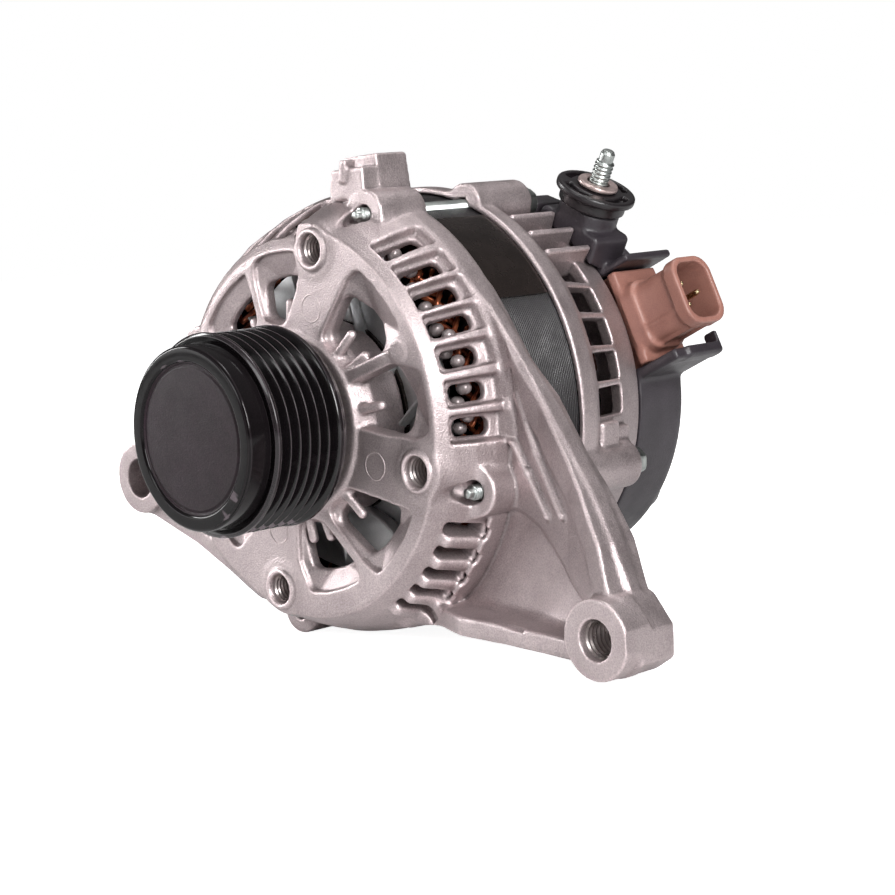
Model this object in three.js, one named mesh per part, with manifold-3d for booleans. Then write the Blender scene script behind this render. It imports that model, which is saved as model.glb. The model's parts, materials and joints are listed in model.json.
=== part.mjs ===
// Car alternator with an overrunning belt pulley, built as separate pieces (millimetres, +Z up).
// Everything is laid out round the rotor axis, which runs along Y with the pulley at -Y.
// y = 0 is the edge of the pulley's first belt groove. Angles are degrees in the XZ plane, 0 at +X, 90 at +Z.
import * as THREE from "three";
import { mergeVertices } from "three/addons/utils/BufferGeometryUtils.js";
import Module from "manifold-3d";

const wasm = await Module();
wasm.setup();

// ---- driving dimensions ----
const STAND_TILT = 5.4; // the housing is turned by this much so that its belly and right ear share the floor
const GAP = 0.3; // clearance between separate pieces
const HOUSING_SIDES = 40; // facets round the housings

const RIB_PITCH = 3.56; // multi-rib belt
const RIBS = 6;
const PULLEY_R = 29.63;
const PULLEY_FRONT = -3.7;
const PULLEY_REAR = 26.2;
const GROOVE_DEPTH = 2.9;
const RIB_TIP = 0.35; // half the flat on top of each rib
const CAP_R = 26.69;
const CAP_FRONT = -9.48;
const HUB_BORE = 7.3;
const HUB_R = 13.2;
const PULLEY_BORE = 20;

const FACE_Y = 30.5; // spoked front face
const FACE_R = 58.5;
const BAND_R = 66.4; // front housing's rear band
const BAND_REAR = 60.5;
const STATOR_R = 64;
const STATOR_BORE = 49.4;
const STATOR_FRONT = 56.3;
const STATOR_REAR = 86.7;
const REAR_RIM = 83.3;
const REAR_RIM_R = 66.2;
const REAR_FACE = 118.5;
const REAR_FACE_R = 57.3;
const COVER_FRONT = 119.4;
const COVER_REAR = 140.7;
const COVER_R = 57;
const COVER_WALL = 2.4;

const BOLT_R = 63.2; // circle of the four through bolts
const BOLT_ANGLES = [74.8, -13.2, -103.5, 166.5];
const BOLT_SHANK = 2.5;
const BOLT_HOLE = 2.9;
const BOSS_FRONT = 43.5;
const LUG_REAR = 107;
const LUG_R = 7.3; // bolt bosses, front and rear
const PULLER_R = 52.17; // circle of the four puller bosses
const PULLER_ANGLES = [80.97, -9.03, -99.03, 170.97];
const PULLER_FRONT = 31.24;

const EAR_FRONT = 29.75;
const EAR_REAR = 49.5;
const RIGHT_EAR = [119, -44.5];
const RIGHT_EAR_R = 10.8;
const RIGHT_EAR_HOLE = 5.1;
const LEFT_EAR = [-75.84, -26.52];
const LEFT_EAR_R = 11.3;
const LEFT_EAR_HOLE = 6.2;

const FRONT_SLOT_PITCH = 9.13;
const FRONT_SLOTS = [[3.8, 7], [-84, 7], [-174, 7], [94.5, 7]]; // first angle and count between the bolt bosses
const REAR_SLOT_PITCH = 9.6;
const REAR_SLOTS = [[4.2, 7], [-85, 7], [-175, 7], [94, 7]];
const WINDOWS = [ // front face openings: start angle, end angle, outer radius
  [0, 27, 50], [36, 57, 44.5], [-54, -23, 45.5], [-79, -61, 44],
  [89, 111, 46], [118, 143, 46], [-128, -106, 46], [-158, -133, 46],
];
const WINDOW_INNER = 29;

const COVER_STUDS = [112, 215, 324]; // cover fixings
const COVER_STUD_CIRCLE = 50.2;
const BRUSH_ANGLE = 90 + STAND_TILT; // the brushes slide straight up and down once the part stands
const BRUSH_Y = [124, 131];
const SLIP_R = 7.6;
const REGULATOR_ANGLE = 28;
const REGULATOR_FACE = 59;
const CONNECTOR_Y = 128;
const STUD_ANGLE = 66.5;
const STUD_FOOT = [38.2, 120, 66.1]; // centre of the output terminal's insulator face

// ---- materials ----
const metal = (color, roughness, metalness = 0.9) =>
  new THREE.MeshStandardMaterial({ color, roughness, metalness });
const plastic = (color, roughness) => new THREE.MeshStandardMaterial({ color, roughness, metalness: 0 });
const CAST = metal(0xc9c1bf, 0.45);
const STEEL = metal(0x9c9a98, 0.35);
const ZINC = metal(0xc4c8c2, 0.3);
const PULLEY_BLACK = metal(0x17151a, 0.25, 0.4);
const CAP_PLASTIC = plastic(0x3d343a, 0.45);
const COPPER = metal(0xa5522a, 0.35);
const LAMINATION = metal(0x1f1c1e, 0.6, 0.5);
const SHEET = metal(0x4a4340, 0.35, 0.6);
const BLACK_PLASTIC = plastic(0x2b2529, 0.5);
const GREY_PLASTIC = plastic(0x50484f, 0.55);
const BROWN_PLASTIC = plastic(0xa2674f, 0.5);
const CARBON = plastic(0x26262a, 0.7);
const BRASS = metal(0xc9a35a, 0.35);

// ---- geometry helpers ----
const rad = THREE.MathUtils.degToRad;
const polar = (r, deg) => [r * Math.cos(rad(deg)), r * Math.sin(rad(deg))];

// A closed three.js geometry as a solid whose faces point out.
function solid(geometry) {
  const g = geometry.index ? geometry.toNonIndexed() : geometry.clone();
  for (const name of Object.keys(g.attributes)) if (name !== "position") g.deleteAttribute(name);
  const merged = mergeVertices(g, 1e-4);
  const kept = [];
  const index = merged.index.array;
  for (let i = 0; i < index.length; i += 3) {
    const [a, b, c] = [index[i], index[i + 1], index[i + 2]];
    if (a !== b && b !== c && a !== c) kept.push(a, b, c);
  }
  const build = (triangles) => new wasm.Manifold(new wasm.Mesh({
    numProp: 3,
    vertProperties: merged.attributes.position.array,
    triVerts: new Uint32Array(triangles),
  }));
  const made = build(kept);
  return made.volume() < 0 ? build(kept.reverse()) : made;
}

const union = (solids) => solids.reduce((all, one) => all.add(one));
const cut = (body, tools) => tools.reduce((left, tool) => left.subtract(tool), body);

// A profile of [radius, y] points turned round the rotor axis.
function turned(profile, segments = 48) {
  const points = profile.map(([r, y]) => new THREE.Vector2(r, y));
  const closes = profile[0][0] > 0 || profile.at(-1)[0] > 0;
  if (closes) points.push(points[0].clone());
  return solid(new THREE.LatheGeometry(points, segments));
}
const ring = (inner, outer, y0, y1, segments = 48) =>
  turned([[inner, y0], [outer, y0], [outer, y1], [inner, y1]], segments);

// A cylinder along Y, centred on [x, z].
function pin(r, y0, y1, [x, z] = [0, 0], segments = 20) {
  const g = new THREE.CylinderGeometry(r, r, y1 - y0, segments);
  return solid(g.translate(x, (y0 + y1) / 2, z));
}

// An outline of [x, z] points extruded from y0 to y1.
function prism(outline, y0, y1) {
  const shape = new THREE.Shape(outline.map(([x, z]) => new THREE.Vector2(x, z)));
  const g = new THREE.ExtrudeGeometry(shape, { depth: y1 - y0, bevelEnabled: false });
  return solid(g.rotateX(Math.PI / 2).translate(0, y1, 0));
}

// Outline points along an arc about [cx, cz].
function arc([cx, cz], r, from, to, steps) {
  return Array.from({ length: steps + 1 }, (_, i) => {
    const [x, z] = polar(r, from + ((to - from) * i) / steps);
    return [cx + x, cz + z];
  });
}

// A sector of a ring between two angles, from y0 to y1.
function sector(inner, outer, from, to, y0, y1, steps = 4) {
  return prism([...arc([0, 0], outer, from, to, steps), ...arc([0, 0], inner, to, from, steps)], y0, y1);
}

// A box whose length runs outwards from the rotor axis: radii r0 to r1, across, and y0 to y1.
function radialBox(angle, r0, r1, across, y0, y1, offset = 0) {
  const g = new THREE.BoxGeometry(r1 - r0, y1 - y0, across);
  g.translate((r0 + r1) / 2, (y0 + y1) / 2, offset).rotateY(-rad(angle));
  return solid(g);
}

// A cylinder between two [x, y, z] points.
function rod(from, to, r, segments = 16) {
  const a = new THREE.Vector3(...from), b = new THREE.Vector3(...to);
  const axis = b.clone().sub(a);
  const g = new THREE.CylinderGeometry(r, r, axis.length(), segments);
  g.applyQuaternion(new THREE.Quaternion().setFromUnitVectors(new THREE.Vector3(0, 1, 0), axis.normalize()));
  return solid(g.translate(...a.add(b).multiplyScalar(0.5).toArray()));
}

const alternator = new THREE.Group();
alternator.rotation.y = rad(STAND_TILT);

function add(name, body, material) {
  const { numProp, numVert, vertProperties, triVerts } = body.getMesh();
  const positions = new Float32Array(numVert * 3);
  for (let i = 0; i < numVert; i++) {
    positions.set(vertProperties.subarray(i * numProp, i * numProp + 3), i * 3);
  }
  const g = new THREE.BufferGeometry();
  g.setAttribute("position", new THREE.BufferAttribute(positions, 3));
  g.setIndex(new THREE.BufferAttribute(triVerts, 1));
  const faceted = g.toNonIndexed();
  faceted.computeVertexNormals();
  const mesh = new THREE.Mesh(faceted, material);
  mesh.name = name;
  alternator.add(mesh);
}

// ---- overrunning pulley ----
function pulley() {
  const outer = [];
  for (let i = 0; i < RIBS; i++) {
    const y = i * RIB_PITCH;
    outer.push([PULLEY_R - 0.3, y + RIB_TIP], [PULLEY_R - GROOVE_DEPTH, y + RIB_PITCH / 2]);
    outer.push([PULLEY_R - 0.3, y + RIB_PITCH - RIB_TIP]);
  }
  return turned([
    [PULLEY_BORE, PULLEY_FRONT + 2.4], [CAP_R - 3, PULLEY_FRONT + 2.4], [CAP_R - 3, PULLEY_FRONT],
    [PULLEY_R, PULLEY_FRONT], ...outer, [PULLEY_R, PULLEY_REAR - 3.5], [PULLEY_R - 2.4, PULLEY_REAR],
    [PULLEY_BORE, PULLEY_REAR],
  ], 30);
}

function dustCap() {
  const skirt = PULLEY_FRONT - GAP;
  return turned([
    [0, CAP_FRONT + 0.9], [CAP_R - 4.2, CAP_FRONT + 0.9], [CAP_R - 3.6, CAP_FRONT],
    [CAP_R - 0.7, CAP_FRONT], [CAP_R, CAP_FRONT + 0.7], [CAP_R, skirt],
    [CAP_R - 2, skirt], [CAP_R - 2, CAP_FRONT + 3], [0, CAP_FRONT + 3],
  ], 32);
}

function pulleyHub() {
  return turned([
    [HUB_BORE, -1], [HUB_R, -1], [HUB_R, 25.9], [11, 27.5], [11, 32.6], [HUB_BORE, 32.6],
  ], 20);
}

function clutchCage() {
  const rollers = Array.from({ length: 14 }, (_, i) =>
    pin(1.6, 6, 19, polar((HUB_R + PULLEY_BORE) / 2, i * (360 / 14)), 6));
  return union([ring(HUB_R + 1.4, PULLEY_BORE - 1.9, 5.4, 19.6, 20), ...rollers]);
}

const pulleyBearing = (y0, y1) => ring(HUB_R + GAP, PULLEY_BORE - GAP, y0, y1, 20);

// ---- front housing ----
const HUB_LIP = 19;
const BEARING_FRONT = 33, BEARING_REAR = 47, BEARING_R = 23.5, BEARING_BORE = 8.5;
const RETAINER_SCREWS = [36, 126, 216, 306];
const RETAINER_CIRCLE = 25.7;

// The filled outer form: bearing hub, spoked face, sloping shoulder and rear band.
const frontForm = () => turned([
  [0, 28.8], [25.6, 28.8], [28.5, FACE_Y + 0.6], [FACE_R, FACE_Y], [61, 36], [66, 51],
  [BAND_R, BAND_REAR], [0, BAND_REAR],
], HOUSING_SIDES);

// The hollow inside it, round the bearing hub, with the seat for the stator.
const frontHollow = () => turned([
  [27.6, 70], [27.6, 47.5], [28.6, 35.6], [55.6, 36.6], [61.6, STATOR_FRONT - GAP],
  [STATOR_R + GAP, STATOR_FRONT - GAP], [STATOR_R + GAP, 70],
], HOUSING_SIDES);

// The right-hand arm: a web behind a raised rim, with the threaded ear at its end.
function rightArm() {
  const [ex, ez] = RIGHT_EAR;
  const top = [[56, 36], [68, 27], [80, 14], [95, -1], [104, -9.5], [115, -21.5], [121, -32], [ex + 10, ez + 5]];
  const bottom = [[ex - 8, ez - 8.4], [86, -53.4], [46, -54.4], [26, -57]];
  const strip = (points, width, y0, y1) => {
    const inner = points.map(([x, z], i) => {
      const [ax, az] = points[Math.max(i - 1, 0)], [bx, bz] = points[Math.min(i + 1, points.length - 1)];
      const length = Math.hypot(bx - ax, bz - az);
      return [x + ((bz - az) / length) * width, z - ((bx - ax) / length) * width];
    });
    return prism([...points, ...inner.reverse()], y0, y1);
  };
  return union([
    prism([...top, [ex, ez], ...bottom, [40, -40], [50, 0]], 44, 49),
    strip(top.slice(0, 3), 6, 48, BAND_REAR - 0.5),
    strip(top.slice(1, 5), 6, 42, 57),
    strip(top.slice(3), 6, 36, 51),
    strip(bottom, 6, 34, 50),
    pin(RIGHT_EAR_R, EAR_FRONT, EAR_REAR, RIGHT_EAR, 28),
  ]);
}

// The left-hand arm is shorter and nearly solid.
function leftArm() {
  const [ex, ez] = LEFT_EAR;
  const outline = [
    [ex - 3, ez - 10.6], [-20, -53.5], [-18, -44], [-44, -10], [-52, 14], [-60, 6], [ex + 4, ez + 10.4],
  ];
  return union([
    prism(outline, 36, 46),
    pin(LEFT_EAR_R, EAR_FRONT, EAR_REAR, LEFT_EAR, 28),
  ]);
}

// The slotted lug over the housing that takes the upper fixing.
function upperLug() {
  const lean = (x, z) => [x - (z - 68) * 0.2, z];
  const foot = prism([[-8, 56], [-6, 63], [-2, 68.5], lean(8, 71.5), lean(16.5, 73), lean(16.5, 60)], 42, 56);
  const block = prism([lean(-1, 67), lean(0, 76.5), lean(16.6, 78.7), lean(16.8, 68.2)], 42.5, 62.5);
  const notch = prism([[7.2, 73], [4.6, 84], [30, 84], [30, 73]], 40, 50);
  const corner = prism([[-20, 50], [-20, 90], [3.5, 90], [7, 72], [6, 50]], 40, 46);
  return union([foot, block.subtract(notch).subtract(corner)]);
}

function frontHousing() {
  const bosses = BOLT_ANGLES.map((a) => pin(LUG_R, BOSS_FRONT, 59, polar(BOLT_R, a), 14));
  const sleeves = PULLER_ANGLES.map((a) => pin(6.8, PULLER_FRONT, 35, polar(PULLER_R, a), 14));
  const body = union([frontForm(), ...bosses, ...sleeves, rightArm(), leftArm(), upperLug()]);
  const slots = FRONT_SLOTS.flatMap(([first, count]) => Array.from({ length: count }, (_, i) =>
    radialBox(first + i * FRONT_SLOT_PITCH, 52, 72, 5.6, 37, 50.5)));
  const windows = WINDOWS.map(([from, to, outer]) => sector(WINDOW_INNER, outer, from, to, 26, 36.4, 2));
  return cut(body, [
    frontHollow(),
    pin(29, 47.5, 70, [0, 0], 24),
    pin(BEARING_R + GAP, BEARING_FRONT - GAP, 60, [0, 0], 24),
    pin(HUB_LIP, 20, 40, [0, 0], 24),
    ...slots, ...windows,
    ...PULLER_ANGLES.map((a) => pin(4.7, 20, 45, polar(PULLER_R, a), 12)),
    ...BOLT_ANGLES.map((a) => pin(BOLT_HOLE, 20, 70, polar(BOLT_R, a), 8)),
    ...RETAINER_SCREWS.map((a) => pin(1.8, 38, 60, polar(RETAINER_CIRCLE, a), 6)),
    pin(RIGHT_EAR_HOLE, 20, 60, RIGHT_EAR, 16),
    pin(RIGHT_EAR_HOLE + 1.3, 20, EAR_FRONT + 3.5, RIGHT_EAR, 16),
    pin(LEFT_EAR_HOLE, 20, 60, LEFT_EAR, 16),
  ]);
}

// ---- front bearing ----
const BALL_R = 3.6, BALL_CIRCLE = 16, BALL_Y = (BEARING_FRONT + BEARING_REAR) / 2;

// A race whose ball groove is cut to the given radius.
function race(inner, outer, groove) {
  const side = groove > BALL_CIRCLE ? inner : outer;
  const back = groove > BALL_CIRCLE ? outer : inner;
  const [a, b] = [BALL_Y - 2.6, BALL_Y + 2.6];
  return turned([[back, BEARING_FRONT], [side, BEARING_FRONT], [side, a], [groove, a + 1.2],
    [groove, b - 1.2], [side, b], [side, BEARING_REAR], [back, BEARING_REAR]], 20);
}

function ballCage(count) {
  const balls = Array.from({ length: count }, (_, i) => {
    const [x, z] = polar(BALL_CIRCLE, (i * 360) / count);
    return solid(new THREE.SphereGeometry(BALL_R, 8, 4).translate(x, BALL_Y, z));
  });
  return union([ring(BALL_CIRCLE - 1, BALL_CIRCLE + 1, BALL_Y - 1.6, BALL_Y + 1.6, 14), ...balls]);
}

function bearingRetainer() {
  const holes = RETAINER_SCREWS.map((a) => pin(2.2, 40, 60, polar(RETAINER_CIRCLE, a), 8));
  return cut(ring(20, 29.4, 47.8, 49.2, 28), holes);
}

function retainerScrew(angle) {
  const centre = polar(RETAINER_CIRCLE, angle);
  return union([pin(1.5, 40, 49.6, centre, 6), pin(3, 49.5, 51, centre, 10)]);
}

// ---- rotor ----
const POLES = 8;
const SHAFT_R = 9;

function rotorShaft() {
  return turned([
    [0, 1], [6.2, 1], [7, 1.8], [7, 32.9], [8.2, 32.9], [8.2, 51], [SHAFT_R, 51], [SHAFT_R, 95], [7.2, 95],
    [7.2, 119.2], [6, 119.2], [6, 137], [0, 137],
  ], 16);
}

// A claw pole: a disc with eight tapering fingers that reach over the coil.
const CLAW_INNER = 40.6, CLAW_OUTER = 48;

function clawPole(discFront, discRear, tip, hubEnd, turn) {
  const inward = tip > discRear ? 1 : -1;
  const root = inward > 0 ? discFront : discRear;
  const shoulder = root + inward * 8;
  const plan = [[-7.7, root], [7.7, root], [7.5, shoulder], [3.7, tip], [-3.7, tip], [-7.5, shoulder]];
  const shape = new THREE.Shape(plan.map(([across, y]) => new THREE.Vector2(across, y)));
  const claws = Array.from({ length: POLES }, (_, i) => {
    const g = new THREE.ExtrudeGeometry(shape, { depth: CLAW_OUTER - CLAW_INNER, bevelEnabled: false });
    const angle = turn + (i * 360) / POLES;
    const foot = radialBox(angle, CLAW_INNER - 6, CLAW_INNER + 2, 15, discFront, discRear);
    return solid(g.translate(0, 0, CLAW_INNER).rotateY(rad(90 - angle))).add(foot);
  });
  return union([
    ring(SHAFT_R + GAP, CLAW_INNER - 0.6, discFront, discRear, 24),
    ring(SHAFT_R + GAP, 20.5, Math.min(discFront, hubEnd), Math.max(discRear, hubEnd), 24),
    ...claws,
  ]);
}

function rotorCoil() {
  return turned([[20.9, 62.6], [38, 62.6], [40, 65], [40, 78], [38, 80.4], [20.9, 80.4]], 32);
}

// A pressed fan: a thin disc with swept blades standing on it.
function fan(disc0, disc1, blade0, blade1, count, sweep) {
  const blades = Array.from({ length: count }, (_, i) => {
    const angle = (i * 360) / count;
    const [x0, z0] = polar(35.5, angle), [x1, z1] = polar(46.5, angle + sweep);
    const length = Math.hypot(x1 - x0, z1 - z0);
    const [nx, nz] = [(-(z1 - z0) / length) * 0.8, ((x1 - x0) / length) * 0.8];
    return prism([[x0 - nx, z0 - nz], [x1 - nx, z1 - nz], [x1 + nx, z1 + nz], [x0 + nx, z0 + nz]], blade0, blade1);
  });
  return union([ring(SHAFT_R + GAP, 46.8, disc0, disc1, 24), ...blades]);
}

const slipRing = (y) => ring(6 + GAP, SLIP_R, y - 2.2, y + 2.2, 16);

// ---- stator ----
function statorCore() {
  const slots = Array.from({ length: 24 }, (_, i) =>
    radialBox(i * 15, STATOR_BORE - 2, 58, 3.6, 50, 95));
  const reliefs = BOLT_ANGLES.map((a) => pin(BOLT_HOLE + 0.5, 50, 95, polar(BOLT_R, a), 8));
  return cut(ring(STATOR_BORE, STATOR_R, STATOR_FRONT, STATOR_REAR, 36), [...slots, ...reliefs]);
}

// Coil end: a ring of hairpin bends standing out of the core, notched between the conductors.
function coilEnd(y0, y1, toothedEnd) {
  const body = ring(50.6, 56.2, y0, y1, 24);
  const notches = Array.from({ length: 24 }, (_, i) =>
    radialBox(i * 15 + 7.5, 49, 60, 2.6, toothedEnd - 2.6, toothedEnd + 2.6));
  return cut(body, notches);
}

function statorPlate() {
  return sector(STATOR_R + GAP, STATOR_R + 0.9, 36, 66, 61.2, 82.9, 8);
}

// ---- rear housing ----
const REAR_BEARING = { bore: 7.5, outer: 17.5, front: 107, rear: 118 };

const rearForm = () => turned([
  [0, REAR_RIM], [REAR_RIM_R, REAR_RIM], [REAR_RIM_R, 90], [63.4, 93.5], [60.6, 107],
  [REAR_FACE_R, REAR_FACE], [0, REAR_FACE],
], HOUSING_SIDES);

const rearHollow = () => turned([
  [0, 80], [STATOR_R + GAP, 80], [STATOR_R + GAP, STATOR_REAR + GAP], [61.4, STATOR_REAR + GAP],
  [59.6, 94], [56.6, 106], [53, 114.5], [23.5, 114.5], [21.5, 104.6], [0, 104.6],
], HOUSING_SIDES);

function rearHousing() {
  const lugs = BOLT_ANGLES.map((a) => union([
    pin(LUG_R, REAR_RIM + 0.4, LUG_REAR, polar(BOLT_R, a), 14),
    radialBox(a, 56, BOLT_R, 14, 84, LUG_REAR),
  ]));
  const slots = REAR_SLOTS.flatMap(([first, count]) => Array.from({ length: count }, (_, i) =>
    radialBox(first + i * REAR_SLOT_PITCH, 54, 72, 7, 94, 106.5)));
  const intakes = Array.from({ length: 8 }, (_, i) => sector(27, 44, i * 45 + 6, i * 45 + 39, 110, 125, 1));
  return cut(union([rearForm(), ...lugs]), [
    rearHollow(), ...slots, ...intakes,
    pin(REAR_BEARING.outer + GAP, REAR_BEARING.front - GAP, 130, [0, 0], 28),
    pin(10, 90, 110, [0, 0], 20),
    ...BOLT_ANGLES.map((a) => pin(BOLT_HOLE, 80, 125, polar(BOLT_R, a), 8)),
    ...BOLT_ANGLES.map((a) => pin(5.8, LUG_REAR, 125, polar(BOLT_R, a), 12)),
    ...COVER_STUDS.map((a) => pin(2.6, 110, 125, polar(COVER_STUD_CIRCLE, a), 8)),
  ]);
}

function rearBearing(inner, outer) {
  return ring(inner, outer, REAR_BEARING.front, REAR_BEARING.rear, 24);
}

// Through bolt: flanged hexagon head at the rear, threaded tip at the front.
function throughBolt(angle) {
  const centre = polar(BOLT_R, angle);
  return union([
    pin(BOLT_SHANK, 39.6, LUG_REAR + 1, centre, 10),
    pin(5.2, LUG_REAR + GAP, LUG_REAR + 1.5, centre, 14),
    pin(4.4, LUG_REAR + 1.4, LUG_REAR + 5.5, centre, 6),
  ]);
}

// ---- rectifier, brushes and regulator under the cover ----
const PLATE_SPAN = [135, 352]; // the horseshoe plates leave room for the brush holder and regulator

function rectifierPlate(inner, outer, y0, y1, diodeAngles, diodeCircle, diodeY) {
  const diodes = diodeAngles.map((a) => pin(5, diodeY[0], diodeY[1], polar(diodeCircle, a), 14));
  const fixings = COVER_STUDS.map((a) => pin(2.9, 110, 150, polar(COVER_STUD_CIRCLE, a), 8));
  return cut(union([sector(inner, outer, ...PLATE_SPAN, y0, y1, 12), ...diodes]), fixings);
}

function terminalBlock() {
  return sector(24, 45, 140, 345, 128.4, 131.6, 10);
}

function brushHolder() {
  const body = radialBox(BRUSH_ANGLE, 10.2, 34, 13, 120, 135.5);
  const channels = BRUSH_Y.map((y) => radialBox(BRUSH_ANGLE, 0, 31.6, 5.2, y - 2.6, y + 2.6));
  return cut(body, channels);
}

const brush = (y) => radialBox(BRUSH_ANGLE, SLIP_R + 0.25, 20, 4.4, y - 2.2, y + 2.2);
const brushSpring = (y) => {
  const at = (r) => {
    const [x, z] = polar(r, BRUSH_ANGLE);
    return [x, y, z];
  };
  return rod(at(20.3), at(31.3), 1.9, 12);
};

// Regulator: a flat block facing outwards, carrying the oval connector socket.
function regulator() {
  const block = radialBox(REGULATOR_ANGLE, 36, REGULATOR_FACE, 30, 121.5, 137.6);
  const flange = radialBox(REGULATOR_ANGLE, 55.5, REGULATOR_FACE, 30, 119.6, 139);
  const [x0, z0] = polar(REGULATOR_FACE - 1, REGULATOR_ANGLE);
  const [x1, z1] = polar(80.5, REGULATOR_ANGLE);
  const socket = ovalBoss([x0, CONNECTOR_Y, z0], [x1, CONNECTOR_Y, z1], 16.6, 21);
  const [x2, z2] = polar(62, REGULATOR_ANGLE);
  const [x3, z3] = polar(90, REGULATOR_ANGLE);
  return cut(union([block, flange, socket]), [
    ovalBoss([x2, CONNECTOR_Y, z2], [x3, CONNECTOR_Y, z3], 13.4, 17.8),
    ...PIN_OFFSETS.map(([y, t]) => pinRod(y, t, 50, 76, 1.2)),
  ]);
}

// A rounded rectangular bar from one point to another: width along Y, height across.
function ovalBoss(from, to, width, height) {
  const a = new THREE.Vector3(...from), b = new THREE.Vector3(...to);
  const w = width / 2, h = height / 2, r = Math.min(w, h) * 0.62;
  const shape = new THREE.Shape();
  shape.moveTo(-w + r, -h).lineTo(w - r, -h).quadraticCurveTo(w, -h, w, -h + r);
  shape.lineTo(w, h - r).quadraticCurveTo(w, h, w - r, h).lineTo(-w + r, h);
  shape.quadraticCurveTo(-w, h, -w, h - r).lineTo(-w, -h + r).quadraticCurveTo(-w, -h, -w + r, -h);
  const g = new THREE.ExtrudeGeometry(shape, { depth: a.distanceTo(b), bevelEnabled: false, curveSegments: 3 });
  const out = b.clone().sub(a).normalize();
  const across = new THREE.Vector3(0, 1, 0);
  g.applyMatrix4(new THREE.Matrix4().makeBasis(across, new THREE.Vector3().crossVectors(out, across), out));
  return solid(g.translate(...from));
}

const PIN_OFFSETS = [[-3.6, 3.2], [-3.6, -3.6], [3.2, 0]]; // connector pins: along Y and across
function pinRod(dy, across, r0, r1, radius) {
  const [nx, nz] = polar(1, REGULATOR_ANGLE);
  const point = (r) => [nx * r - nz * across, CONNECTOR_Y + dy, nz * r + nx * across];
  return rod(point(r0), point(r1), radius, 8);
}

// ---- rear cover ----
function rearCover() {
  const shell = turned([
    [0, COVER_REAR], [COVER_R - 4, COVER_REAR], [COVER_R, COVER_REAR - 3],
    [COVER_R, COVER_FRONT], [COVER_R - COVER_WALL, COVER_FRONT], [COVER_R - COVER_WALL, COVER_REAR - 4],
    [COVER_R - 5, COVER_REAR - COVER_WALL], [0, COVER_REAR - COVER_WALL],
  ], HOUSING_SIDES);
  const lower = radialBox(REGULATOR_ANGLE, 52, 71, 3, COVER_FRONT, COVER_REAR, -16.9);
  const lip = radialBox(REGULATOR_ANGLE, 68.5, 71, 6, COVER_FRONT + 12, COVER_REAR, -14);
  const upper = radialBox(REGULATOR_ANGLE, 52, 66, 2.4, COVER_FRONT, COVER_REAR, 16.7);
  const back = radialBox(REGULATOR_ANGLE, 46, 58.5, 32, COVER_REAR - 1.4, COVER_REAR);
  const opening = radialBox(REGULATOR_ANGLE, 30, 80, 30.8, 100, COVER_REAR - 1.4);
  const chimney = terminalTube(9.9, -30, -6.3);
  const vents = Array.from({ length: 9 }, (_, i) =>
    sector(26, 44, 150 + i * 22, 163 + i * 22, COVER_REAR - 6, COVER_REAR + 6, 2));
  return cut(union([shell, chimney.subtract(insideCover()), lower, lip, upper, back]), [
    opening, ...vents,
    ...COVER_STUDS.map((a) => pin(2.6, 110, 150, polar(COVER_STUD_CIRCLE, a), 8)),
    terminalTube(5.6, -40, 5), rearKeepOut(),
  ]);
}

const insideCover = () => turned([[0, 100], [COVER_R - COVER_WALL, 100], [COVER_R - COVER_WALL, COVER_REAR - 3],
  [0, COVER_REAR - 3]], HOUSING_SIDES);
const rearKeepOut = () => turned([[0, 80], [COVER_R + 14, 80], [COVER_R + 14, 112.4], [REAR_FACE_R + 2.8, 112.4],
  [REAR_FACE_R + 1, COVER_FRONT - 0.5], [0, COVER_FRONT - 0.5]], HOUSING_SIDES);

function coverNut(angle) {
  const centre = polar(COVER_STUD_CIRCLE, angle);
  return union([
    pin(2.2, REAR_FACE + GAP, COVER_REAR + 3.4, centre, 10),
    pin(4.4, COVER_REAR + GAP, COVER_REAR + 2.8, centre, 6),
  ]);
}

// Distances along the output stud's axis, measured outwards from the insulator face.
function terminalTube(r, from, to, segments = 24) {
  const [nx, nz] = polar(1, STUD_ANGLE);
  const at = (d) => [STUD_FOOT[0] + nx * d, STUD_FOOT[1], STUD_FOOT[2] + nz * d];
  return rod(at(from), at(to), r, segments);
}

function terminalInsulator() {
  return cut(union([terminalTube(12.5, -2.4, 0, 24), terminalTube(10.6, -6, -2.3, 20)]), [terminalTube(3.6, -10, 5, 14)]);
}

const terminalWasher = () => cut(terminalTube(6.4, GAP, 1.8, 20), [terminalTube(3.6, -5, 5, 14)]);

function terminalStud() {
  return union([
    terminalTube(3, -16, 9, 14), terminalTube(2.1, 8.9, 12.4, 10), terminalTube(5, -16, -12.8, 6),
  ]);
}

// ---- assembly ----
add("pulley", pulley(), PULLEY_BLACK);
add("pulley_dust_cap", dustCap(), CAP_PLASTIC);
add("pulley_hub", pulleyHub(), STEEL);
add("clutch_roller_cage", clutchCage(), STEEL);
add("pulley_bearing_front", pulleyBearing(-0.6, 4.6), STEEL);
add("pulley_bearing_rear", pulleyBearing(20.4, 25.6), STEEL);
add("front_housing", frontHousing(), CAST);
add("front_bearing_outer_race", race(19, BEARING_R, 20.1), STEEL);
add("front_bearing_inner_race", race(BEARING_BORE, 13, 11.9), STEEL);
add("front_bearing_ball_cage", ballCage(7), STEEL);
add("bearing_retainer", bearingRetainer(), SHEET);
RETAINER_SCREWS.forEach((a, i) => add(`retainer_screw_${i + 1}`, retainerScrew(a), ZINC));
add("rotor_shaft", rotorShaft(), STEEL);
add("rotor_pole_front", clawPole(55, 62.2, 85, 71.2, 0), SHEET);
add("rotor_pole_rear", clawPole(80.8, 88, 58, 71.5, 22.5), SHEET);
add("rotor_coil", rotorCoil(), COPPER);
add("front_fan", fan(52.9, 54.6, 43.5, 53, 11, 12), STEEL);
add("rear_fan", fan(88.4, 90.1, 90, 101, 10, -12), STEEL);
add("slip_ring_front", slipRing(BRUSH_Y[0]), COPPER);
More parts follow.
